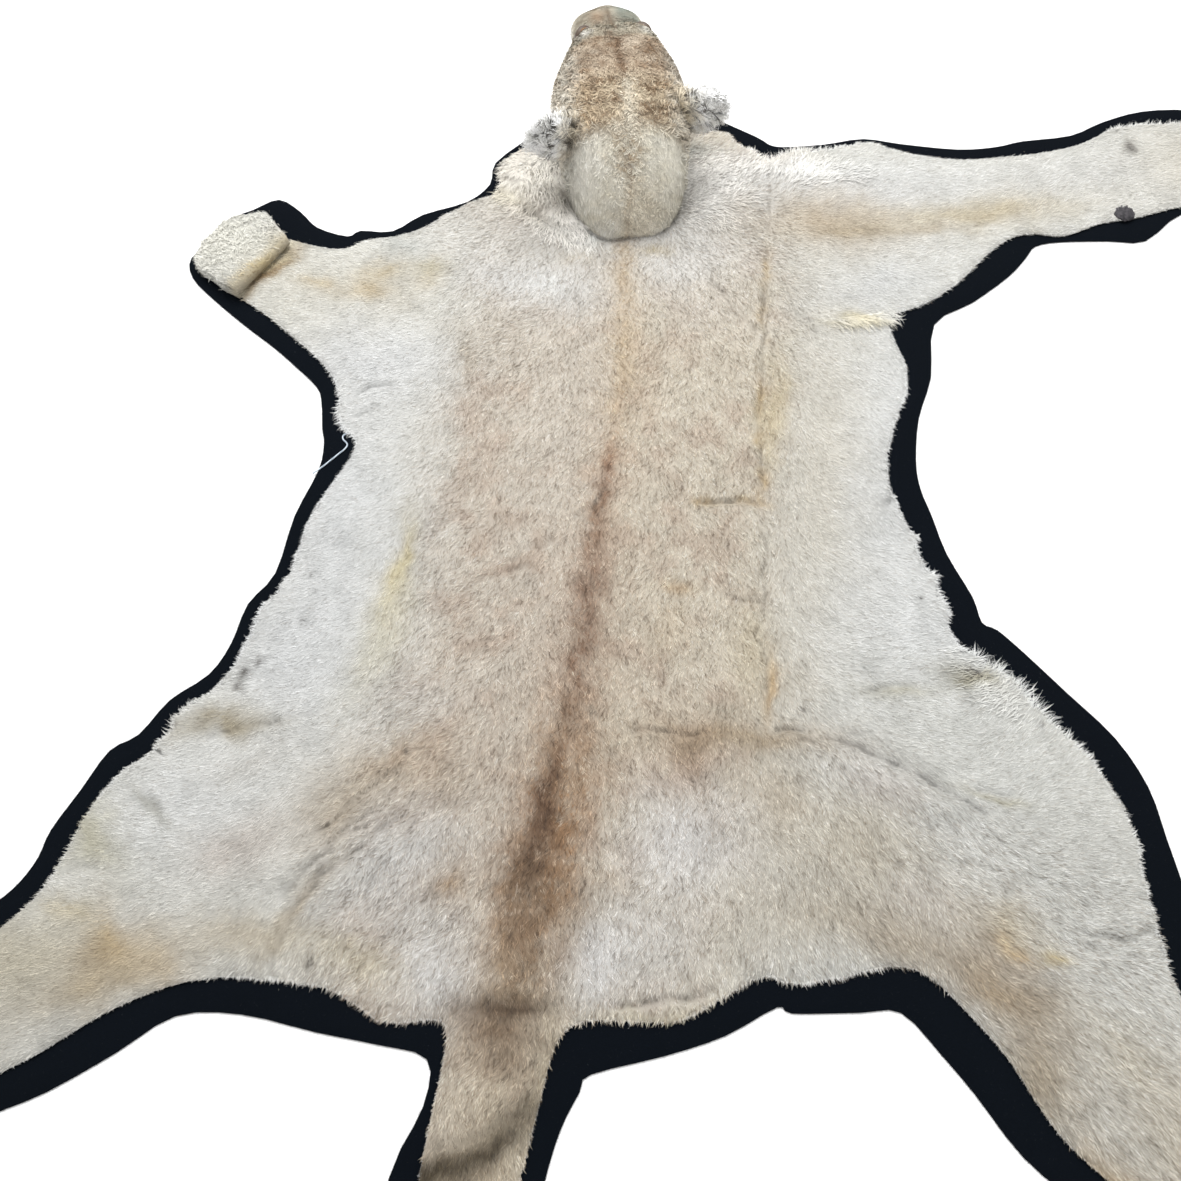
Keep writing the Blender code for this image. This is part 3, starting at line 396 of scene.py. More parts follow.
bpy.ops.object.shade_smooth_by_angle(angle=math.radians(50))


def fibre_group():
    """Short matted fibres lying every way: their colour mask and their height."""
    group = bpy.data.node_groups.new("matted fibres", "ShaderNodeTree")
    group.interface.new_socket("Size", in_out="INPUT", socket_type="NodeSocketFloat")
    group.interface.new_socket("Mask", in_out="OUTPUT", socket_type="NodeSocketFloat")
    group.interface.new_socket("Height", in_out="OUTPUT", socket_type="NodeSocketFloat")
    given = group.nodes.new("NodeGroupInput")
    given_out = group.nodes.new("NodeGroupOutput")
    place = node_in(group, "ShaderNodeTexCoord")
    total = None
    for turn, seed in ((0.3, 1.0), (1.4, 5.0), (2.5, 9.0)):
        lie = node_in(group, "ShaderNodeMapping")
        lie.inputs["Rotation"].default_value = (0.0, 0.0, turn)
        lie.inputs["Scale"].default_value = (1.0, 6.0, 1.0)
        lie.inputs["Location"].default_value = (seed, -seed, 0.0)
        fibre = node_in(group, "ShaderNodeTexNoise", Detail=4.0, Roughness=0.6)
        wire(
            group, (place, "Object", lie, "Vector"), (lie, "Vector", fibre, "Vector"),
            (given, "Size", fibre, "Scale"),
        )
        if total is None:
            total = (fibre, "Fac")
        else:
            higher = node_in(group, "ShaderNodeMath", operation="MAXIMUM")
            wire(group, (*total, higher, 0), (fibre, "Fac", higher, 1))
            total = (higher, "Value")
    mask = node_in(group, "ShaderNodeMapRange")
    mask.inputs["From Min"].default_value = 0.5
    mask.inputs["From Max"].default_value = 0.8
    wire(group, (*total, mask, "Value"), (mask, "Result", given_out, "Mask"), (*total, given_out, "Height"))
    return group


matted_fibres = fibre_group()
felt_material, felt_tree, felt_shader = finish_material("black felt", 0.96)
felt_shader.inputs["Specular IOR Level"].default_value = 0.1
felt_fibre = node_in(felt_tree, "ShaderNodeGroup", node_tree=matted_fibres, Size=260.0)
felt_place = node_in(felt_tree, "ShaderNodeTexCoord")
felt_wear = node_in(felt_tree, "ShaderNodeTexNoise", Scale=5.0, Detail=6.0, Roughness=0.65)
felt_ramp = ramp_in(felt_tree, (0.0, dye(2, 6, 12)), (1.0, dye(11, 17, 26)))
felt_shade = node_in(felt_tree, "ShaderNodeMath", operation="MULTIPLY")
felt_bump = node_in(felt_tree, "ShaderNodeBump", Strength=0.5, Distance=0.0008)
wire(
    felt_tree, (felt_place, "Object", felt_wear, "Vector"), (felt_fibre, "Mask", felt_shade, 0),
    (felt_wear, "Fac", felt_shade, 1), (felt_shade, "Value", felt_ramp, "Fac"),
    (felt_ramp, "Color", felt_shader, "Base Color"), (felt_fibre, "Height", felt_bump, "Height"),
    (felt_bump, "Normal", felt_shader, "Normal"),
)
felt.data.materials.append(felt_material)

chance = np.random.default_rng(11)
rim_place, rim_way = even_steps(felt_outline, FELT_FIBRES // 2)
loose_x = chance.uniform(low[0], high[0], 3 * FELT_FIBRES)
loose_y = chance.uniform(low[1], high[1], 3 * FELT_FIBRES)
on_felt = inside(felt_outline, loose_x, loose_y)
lint_place = np.stack((loose_x[on_felt], loose_y[on_felt]), axis=1)[:FELT_FIBRES - len(rim_place)]
lint_turn = chance.uniform(0, 2 * math.pi, len(lint_place))
fibre_root = np.vstack((rim_place, lint_place))
fibre_way = np.vstack((rim_way, np.stack((np.cos(lint_turn), np.sin(lint_turn)), axis=1)))
count = len(fibre_root)
fibre_turn = chance.normal(0, 0.7, count)
turned = turned_by(fibre_way, fibre_turn)
at_rim = np.arange(count) < len(rim_place)
fibre_long = np.where(at_rim, chance.uniform(0.001, 0.0028, count), chance.uniform(0.0015, 0.006, count))
fibre_low = np.where(at_rim, chance.uniform(0.0006, 0.0027, count), FELT_THICKNESS - 0.0002)
fibre_spine = np.zeros((count, 2, 3))
fibre_spine[:, 0, :2] = fibre_root - turned * 0.0004
fibre_spine[:, 1, :2] = fibre_root + turned * fibre_long[:, None] + chance.normal(0, 0.0004, (count, 2))
fibre_spine[:, 0, 2] = fibre_low
fibre_spine[:, 1, 2] = fibre_low + np.where(at_rim, chance.uniform(-0.0005, 0.0006, count), 0.0006)
fibre_spine[:, 1, 2] = np.maximum(0.0003, fibre_spine[:, 1, 2])
pale = chance.random(count)
fibre_tint = np.where(pale[:, None] < 0.965, dye(8, 13, 20)[None], dye(70, 76, 80)[None])
fibre_tint = np.where(pale[:, None] > 0.992, dye(196, 188, 172)[None], fibre_tint)
felt_fuzz = strands(
    "felt_fuzz", fibre_spine, np.stack((-turned[:, 1], turned[:, 0], np.zeros(count)), axis=1),
    (0.00018, 0.0), np.repeat(fibre_tint[:, None], 2, axis=1),
)
fuzz_material, fuzz_tree, fuzz_shader = finish_material("felt fibres", 0.95)
fuzz_tint = node_in(fuzz_tree, "ShaderNodeAttribute", attribute_name="hair_colour")
wire(fuzz_tree, (fuzz_tint, "Color", fuzz_shader, "Base Color"))
felt_fuzz.data.materials.append(fuzz_material)
for piece in (felt, felt_fuzz):
    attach(piece, "root")
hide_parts("felt_backing")


# The hide
# One tanned lioness skin laid hair side up, with the body, the four legs and the tail, 4 to 9 mm thick with
# its lying hair. It isn't stretched, so the pile parts and wrinkles in a few lines. The left forepaw is
# folded back over itself in two layers.

CREASE_REACH = 0.016
# Faces above this height belong to the skin's upper side
SKIN_TOP = 0.0045
# The rim is cut smooth, since the locks there are hairs
RIM_STEPS = 3000
RIM_SMOOTH = 30
FOLD_CENTRE = (-0.690, 0.690)
FOLD_REACH = 0.15
# Creases of the skin and partings of its pile: name, half width, depth, how dark the painted shade in the
# middle is, and the way that it runs
CREASES = (
    ("long parting, shoulder", 0.009, 0.0018, 0.34, ((0.152, 0.992), (0.158, 0.900), (0.161, 0.831))),
    ("long parting", 0.009, 0.0028, 0.82, (
        (0.161, 0.831), (0.159, 0.723), (0.159, 0.669), (0.168, 0.652), (0.160, 0.612), (0.163, 0.558),
        (0.163, 0.478), (0.175, 0.410), (0.176, 0.352),
    )),
    ("long parting, loin", 0.008, 0.0020, 0.62, (
        (0.180, 0.340), (0.188, 0.260), (0.189, 0.184), (0.184, 0.133), (0.197, 0.107), (0.204, 0.036),
        (0.206, -0.004),
    )),
    ("cross parting", 0.009, 0.0035, 0.66, ((0.080, 0.336), (0.137, 0.347), (0.189, 0.345))),
    ("ribs, thread", 0.006, 0.0017, 0.61, ((0.132, 0.190), (0.160, 0.187), (0.188, 0.182))),
    ("loin", 0.009, 0.0029, 0.76, ((0.009, -0.026), (0.046, -0.017), (0.088, -0.026), (0.123, -0.018))),
    ("loin, right", 0.008, 0.0038, 0.88, ((0.213, -0.001), (0.235, 0.006), (0.259, 0.000))),
    ("loin, low", 0.007, 0.0023, 0.88, ((0.246, -0.012), (0.276, -0.017))),
    ("haunch fold", 0.010, 0.0044, 0.88, (
        (0.279, -0.003), (0.332, -0.009), (0.387, -0.032), (0.434, -0.055), (0.475, -0.070), (0.520, -0.088),
    )),
    ("haunch fold, rise", 0.016, -0.0042, 0.00, (
        (0.300, 0.018), (0.345, 0.012), (0.400, -0.010), (0.450, -0.035),
    )),
    ("haunch", 0.007, 0.0023, 0.56, ((0.480, -0.050), (0.535, -0.056))),
    ("belly, right", 0.009, 0.0029, 0.34, ((0.330, 0.062), (0.376, 0.082), (0.412, 0.084))),
    ("shoulder", 0.009, 0.0035, 0.68, ((0.060, 0.748), (0.104, 0.705), (0.136, 0.662), (0.154, 0.637))),
    ("armpit, right", 0.008, 0.0029, 0.61, ((0.196, 0.700), (0.214, 0.692), (0.230, 0.677), (0.247, 0.648))),
    ("foreleg, right", 0.010, 0.0026, 0.27, ((0.318, 0.866), (0.420, 0.872), (0.500, 0.900), (0.560, 0.934))),
    ("armpit, left", 0.008, 0.0034, 0.75, ((-0.466, 0.450), (-0.430, 0.474), (-0.398, 0.486))),
    ("armpit, left low", 0.007, 0.0029, 0.65, ((-0.456, 0.418), (-0.418, 0.444))),
    ("spine", 0.007, 0.0038, 0.92, ((-0.055, 0.388), (-0.058, 0.343), (-0.067, 0.317), (-0.065, 0.285))),
    ("spine, branch", 0.006, 0.0023, 0.81, ((-0.066, 0.315), (-0.100, 0.286))),
    ("ribs, left", 0.010, 0.0032, 0.41, ((-0.203, 0.185), (-0.155, 0.202), (-0.121, 0.257))),
    ("ribs, left rise", 0.018, -0.0032, 0.00, ((-0.200, 0.215), (-0.160, 0.238), (-0.140, 0.270))),
    ("ribs, left low", 0.009, 0.0020, 0.34, ((-0.216, 0.074), (-0.176, 0.089))),
    ("ribs, left high", 0.010, 0.0017, 0.20, ((-0.295, 0.250), (-0.249, 0.277))),
    ("flank, left", 0.008, 0.0026, 0.47, (
        (-0.345, 0.232), (-0.334, 0.211), (-0.324, 0.157), (-0.326, 0.123), (-0.335, 0.098),
    )),
    ("hip, left", 0.010, 0.0038, 0.61, ((-0.560, -0.098), (-0.500, -0.080), (-0.452, -0.062))),
    ("hip, left low", 0.009, 0.0023, 0.27, ((-0.452, -0.062), (-0.380, -0.030))),
    ("thigh, left", 0.009, 0.0038, 0.55, (
        (-0.394, -0.227), (-0.358, -0.192), (-0.323, -0.152), (-0.271, -0.095),
    )),
    ("thigh, left rise", 0.014, -0.0035, 0.00, ((-0.372, -0.205), (-0.330, -0.150), (-0.296, -0.105))),
    ("thigh, left middle", 0.008, 0.0035, 0.60, (
        (-0.365, -0.235), (-0.327, -0.188), (-0.299, -0.166), (-0.276, -0.133),
    )),
    ("thigh, left low", 0.009, 0.0038, 0.65, (
        (-0.412, -0.312), (-0.368, -0.245), (-0.343, -0.216), (-0.301, -0.182),
    )),
    ("thigh, left inner", 0.010, 0.0043, 0.65, (
        (-0.398, -0.400), (-0.385, -0.314), (-0.363, -0.271), (-0.330, -0.240),
    )),
    ("thigh, left end", 0.007, 0.0020, 0.68, ((-0.256, -0.182), (-0.236, -0.168))),
    ("haunch, left", 0.009, 0.0030, 0.62, ((-0.619, -0.187), (-0.600, -0.192), (-0.581, -0.207))),
    ("haunch, left rim", 0.012, 0.0030, 0.40, ((-0.695, -0.299), (-0.670, -0.292), (-0.645, -0.288))),
    ("rump, left", 0.008, 0.0023, 0.34, ((-0.340, -0.250), (-0.300, -0.210), (-0.270, -0.170))),
    ("hock, right", 0.009, 0.0043, 0.61, (
        (0.595, -0.207), (0.626, -0.225), (0.669, -0.225), (0.722, -0.204),
    )),
    ("rump, right", 0.009, 0.0049, 0.88, (
        (0.030, -0.380), (0.068, -0.374), (0.117, -0.362), (0.164, -0.346),
    )),
    ("tail", 0.020, 0.0026, 0.41, ((-0.170, -0.566), (-0.110, -0.540), (-0.060, -0.510))),
    ("collar", 0.009, 0.0029, 0.92, (
        (-0.283, 0.877), (-0.229, 0.845), (-0.185, 0.818), (-0.140, 0.803), (-0.096, 0.800), (-0.052, 0.812),
    )),
)


def soft_step(value, start, end):
    """0 up to the start and 1 from the end on, with a smooth rise between them."""
    t = np.clip((value - start) / (end - start), 0, 1)
    return t * t * (3 - 2 * t)


def until(value, start, end):
    """1 up to the start and 0 from the end on."""
    return 1 - soft_step(value, start, end)


def window(value, start, whole, fading, end):
    """0 up to the start, 1 from whole to fading, and 0 again from the end on."""
    return soft_step(value, start, whole) * until(value, fading, end)


def hump(value, middle, half):
    """1 where the value is at the middle, falling smoothly towards 0 on both sides."""
    return np.exp(-((value - middle) / half) ** 2)


def near_way(x, y, way):
    """How far each place is from a line through points, and how far along the line that is, from 0 to 1."""
    way = np.array(way)
    steps = np.hypot(*(way[1:] - way[:-1]).T)
    run, total = 0.0, steps.sum()
    away, along = np.full(len(x), 1e9), np.zeros(len(x))
    for (ax, ay), (dx, dy), step in zip(way, way[1:] - way[:-1], steps):
        t = np.clip(((x - ax) * dx + (y - ay) * dy) / step ** 2, 0, 1)
        here = np.hypot(x - ax - t * dx, y - ay - t * dy)
        along = np.where(here < away, (run + t * step) / total, along)
        away = np.minimum(away, here)
        run += step
    return away, along


def creased(x, y):
    """How deep the skin sinks in its creases, how near each place is to one, and how dark their painted shade
    is.
    """
    depth, near, dark = np.zeros(len(x)), np.zeros(len(x)), np.zeros(len(x))
    wander_x = x + 0.0038 * drift(x, y, 0.026, 21) + 0.0017 * drift(x, y, 0.009, 23)
    wander_y = y + 0.0038 * drift(x, y, 0.026, 22) + 0.0017 * drift(x, y, 0.009, 24)
    broken = np.clip(0.80 + 0.6 * drift(x, y, 0.020, 25), 0, 1)
    for _, wide, deep, tone, way in CREASES:
        away, along = near_way(wander_x, wander_y, way)
        ends = soft_step(np.minimum(along, 1 - along), -0.02, 0.14)
        fall = np.clip(1 - (away / wide) ** 2, 0, 1) ** 2 * ends
        fall *= 0.45 + 0.55 * broken
        depth = np.where(np.abs(deep * fall) > np.abs(depth), deep * fall, depth)
        closed = min(1.0, max(0.0, deep / 0.0026))
        near = np.maximum(near, np.clip(1 - away / (0.7 * wide), 0, 1) * ends * closed)
        # Painted shade darkens the middle of each crease
        dark = np.maximum(dark, tone * hump(away, 0, 0.0011 + 0.13 * wide) * ends)
    return depth, near, dark * broken


def copy_of_node(node, name):
    """A new piece with a merged copy of a CAD node's mesh, selected on its own."""
    piece = bpy.data.objects.new(name, frame["nodes"][node].data.copy())
    bpy.context.collection.objects.link(piece)
    piece.data.materials.clear()
    only(piece)
    edit_whole()
    bpy.ops.mesh.remove_doubles(threshold=MERGE)
    bpy.ops.object.mode_set(mode="OBJECT")
    return piece


def faces_of(piece):
    """The middle and the normal of each face of a piece."""
    faces = piece.data.polygons
    return np.array([face.center for face in faces]), np.array([face.normal for face in faces])


def pick_faces(piece, wanted):
    """Selects the faces for which the list says yes, and leaves the piece in edit mode."""
    bpy.ops.object.mode_set(mode="EDIT")
    bpy.ops.mesh.select_mode(type="FACE")
    bpy.ops.mesh.select_all(action="DESELECT")
    bpy.ops.object.mode_set(mode="OBJECT")
    piece.data.polygons.foreach_set("select", wanted)
    bpy.ops.object.mode_set(mode="EDIT")


def read_places(piece):
    """The points of a piece's mesh and the smooth normal at each."""
    places = np.empty(3 * len(piece.data.vertices), np.float32)
    slants = np.empty(3 * len(piece.data.vertices), np.float32)
    piece.data.vertices.foreach_get("co", places)
    piece.data.vertices.foreach_get("normal", slants)
    return places.reshape(-1, 3).astype(float), slants.reshape(-1, 3).astype(float)


def cut_finer(cuts, **settings):
    """Divides the selected faces, leaves triangles only, there and beside them, and ends edit mode."""
    bpy.ops.mesh.subdivide(number_cuts=cuts, **settings)
    bpy.ops.mesh.select_more()
    bpy.ops.mesh.quads_convert_to_tris()
    bpy.ops.object.mode_set(mode="OBJECT")


def write_places(piece, places):
    """Moves the points of a piece's mesh."""
    piece.data.vertices.foreach_set("co", places.astype(np.float32).ravel())
    piece.data.update()


def at_fold(x, y):
    """Which places are near the folded left forepaw."""
    return np.hypot(x - FOLD_CENTRE[0], y - FOLD_CENTRE[1]) < FOLD_REACH


hide = copy_of_node("hide", "hide_skin")
middles, normals = faces_of(hide)
pick_faces(hide, (middles[:, 2] > SKIN_TOP) & (normals[:, 2] > -0.6))
cut_finer(1)
middles, _ = faces_of(hide)
to_crease = np.min([near_way(middles[:, 0], middles[:, 1], crease[-1])[0] for crease in CREASES], axis=0)
pick_faces(hide, (to_crease < CREASE_REACH) & (middles[:, 2] > 0.0050))
cut_finer(2)

places, slants = read_places(hide)
x, y, z = places.T
in_fold = at_fold(x, y)
on_top = (slants[:, 2] > 0.75) & (z > SKIN_TOP)
sunk, _, _ = creased(x, y)
lumps = 0.0010 * drift(x, y, 0.060, 3) + 0.0007 * drift(x, y, 0.024, 4) + 0.0003 * drift(x, y, 0.011, 5)
raised = z + np.where(on_top & ~in_fold, lumps - sunk, np.where(on_top, 0.5 * lumps, 0))
places[:, 2] = np.where(on_top, np.maximum(raised, np.minimum(z, 0.0056)), z)
hide_outline = under_outline("hide")
hide_rim, _ = even_steps(hide_outline, RIM_STEPS)
smooth_rim = hide_rim.copy()
for _ in range(RIM_SMOOTH):
    smooth_rim = (np.roll(smooth_rim, 1, axis=0) + 2 * smooth_rim + np.roll(smooth_rim, -1, axis=0)) / 4
for start in range(0, len(places), 4000):
    some = slice(start, start + 4000)
    away = np.hypot(*(places[some, None, :2] - hide_rim).transpose(2, 0, 1))
    nearest = away.argmin(axis=1)
    share = until(away.min(axis=1), 0.0, 0.022) * ~in_fold[some]
    places[some, :2] += (smooth_rim - hide_rim)[nearest] * share[:, None]
write_places(hide, places)
bpy.ops.object.shade_smooth_by_angle(angle=math.radians(60))


# The hide's coat
# Short hair lies flat over the whole skin, from the head towards the tail and out along the legs. It is beige
# along the back with a dark stripe on the spine, and cream to white on the flanks, the belly's edges and the
# legs.

TUFT_SIZE = 0.0034
COAT_HAIRS = 480000
COAT_PIECES = 4
# No hair reaches lower than this, where it would run into the felt
LOWEST_HAIR = 0.0037
# How much of the light the coat sends back where its hairs shade each other
SHADED = 0.66
# The middle of the back from the nape to the tail's end: how far along, and how far to the right
SPINE = np.array((
    (0.82, -0.096), (0.72, -0.078), (0.60, -0.062), (0.40, -0.066), (0.20, -0.064), (0.08, -0.070),
    (0.00, -0.082), (-0.10, -0.080), (-0.20, -0.090), (-0.30, -0.087), (-0.40, -0.096), (-0.60, -0.112),
    (-0.90, -0.110), (-1.23, -0.128),
))
# Which way the hair lies: place, degrees from the right towards the head, and how far around that holds
LIE = np.array((
    (-0.09, 0.78, -92, 1.0), (-0.07, 0.55, -90, 1.0), (-0.07, 0.30, -91, 1.0), (-0.08, 0.05, -90, 1.0),
    (-0.09, -0.20, -92, 1.0), (-0.10, -0.38, -92, 1.0), (-0.11, -0.60, -93, 1.0),
    (-0.11, -1.00, -92, 1.0), (-0.22, 0.84, -128, 0.7), (-0.30, 0.90, -150, 0.6),
    (-0.27, 0.66, -112, 1.0), (-0.40, 0.72, -150, 0.9), (-0.52, 0.70, -172, 0.9), (-0.66, 0.68, 178, 0.9),
    (-0.44, 0.58, -160, 0.8), (-0.26, 0.42, -102, 1.0), (-0.42, 0.44, -158, 0.8),
    (-0.43, 0.28, -140, 0.8), (-0.46, 0.12, -150, 0.8), (-0.50, -0.02, -160, 0.8),
    (-0.26, 0.15, -104, 1.0), (-0.30, -0.08, -122, 1.0), (-0.45, -0.12, -152, 1.0),
    (-0.60, -0.18, -165, 0.9), (-0.66, -0.28, -170, 0.9), (-0.40, -0.28, -140, 1.0),
    (-0.26, -0.32, -115, 0.9), (-0.56, -0.36, -152, 1.0), (-0.72, -0.44, -150, 1.0),
    (-0.86, -0.54, -142, 1.0), (-0.95, -0.62, -142, 1.0), (-0.36, -0.40, -110, 0.6),
    (0.10, 0.84, -40, 0.9), (0.04, 0.96, 20, 0.5), (0.18, 1.00, 62, 0.6), (0.26, 0.95, 20, 0.8),
    (0.40, 0.96, 12, 0.9), (0.60, 1.00, 14, 0.9), (0.85, 1.08, 6, 1.0), (0.30, 0.84, -8, 0.9),
    (0.46, 0.86, 10, 0.9), (0.62, 0.92, 16, 0.9), (0.36, 0.74, -14, 0.8), (0.10, 0.68, -76, 1.0),
    (0.12, 0.45, -84, 1.0), (0.12, 0.20, -86, 1.0), (0.13, -0.05, -80, 1.0), (0.30, 0.60, -44, 0.9),
    (0.37, 0.46, -30, 0.8), (0.36, 0.28, -40, 0.8), (0.45, 0.16, 2, 0.7), (0.52, 0.07, 34, 0.6),
    (0.56, 0.00, 38, 0.6), (0.40, 0.03, -14, 0.7), (0.62, -0.10, 6, 0.8), (0.69, -0.20, -8, 0.7),
    (0.30, -0.10, -62, 0.9), (0.46, -0.14, -38, 0.9), (0.56, -0.22, -30, 0.9), (0.40, -0.26, -62, 0.8),
    (0.20, -0.26, -78, 0.9), (0.06, -0.32, -88, 0.7), (0.64, -0.34, -46, 1.0), (0.74, -0.46, -50, 1.0),
    (0.86, -0.58, -48, 1.0), (0.52, -0.38, -58, 0.8), (0.28, -0.32, -70, 0.6), (-0.165, 0.835, -30, 0.35),
    (-0.210, 0.868, -36, 0.35), (-0.255, 0.905, -50, 0.35), (-0.300, 0.900, -120, 0.4),
    (-0.280, 0.965, 160, 0.4), (0.050, 0.900, 18, 0.4), (0.090, 0.960, 40, 0.4), (0.400, 0.130, 10, 0.5),
    (0.440, 0.190, -20, 0.4),
))
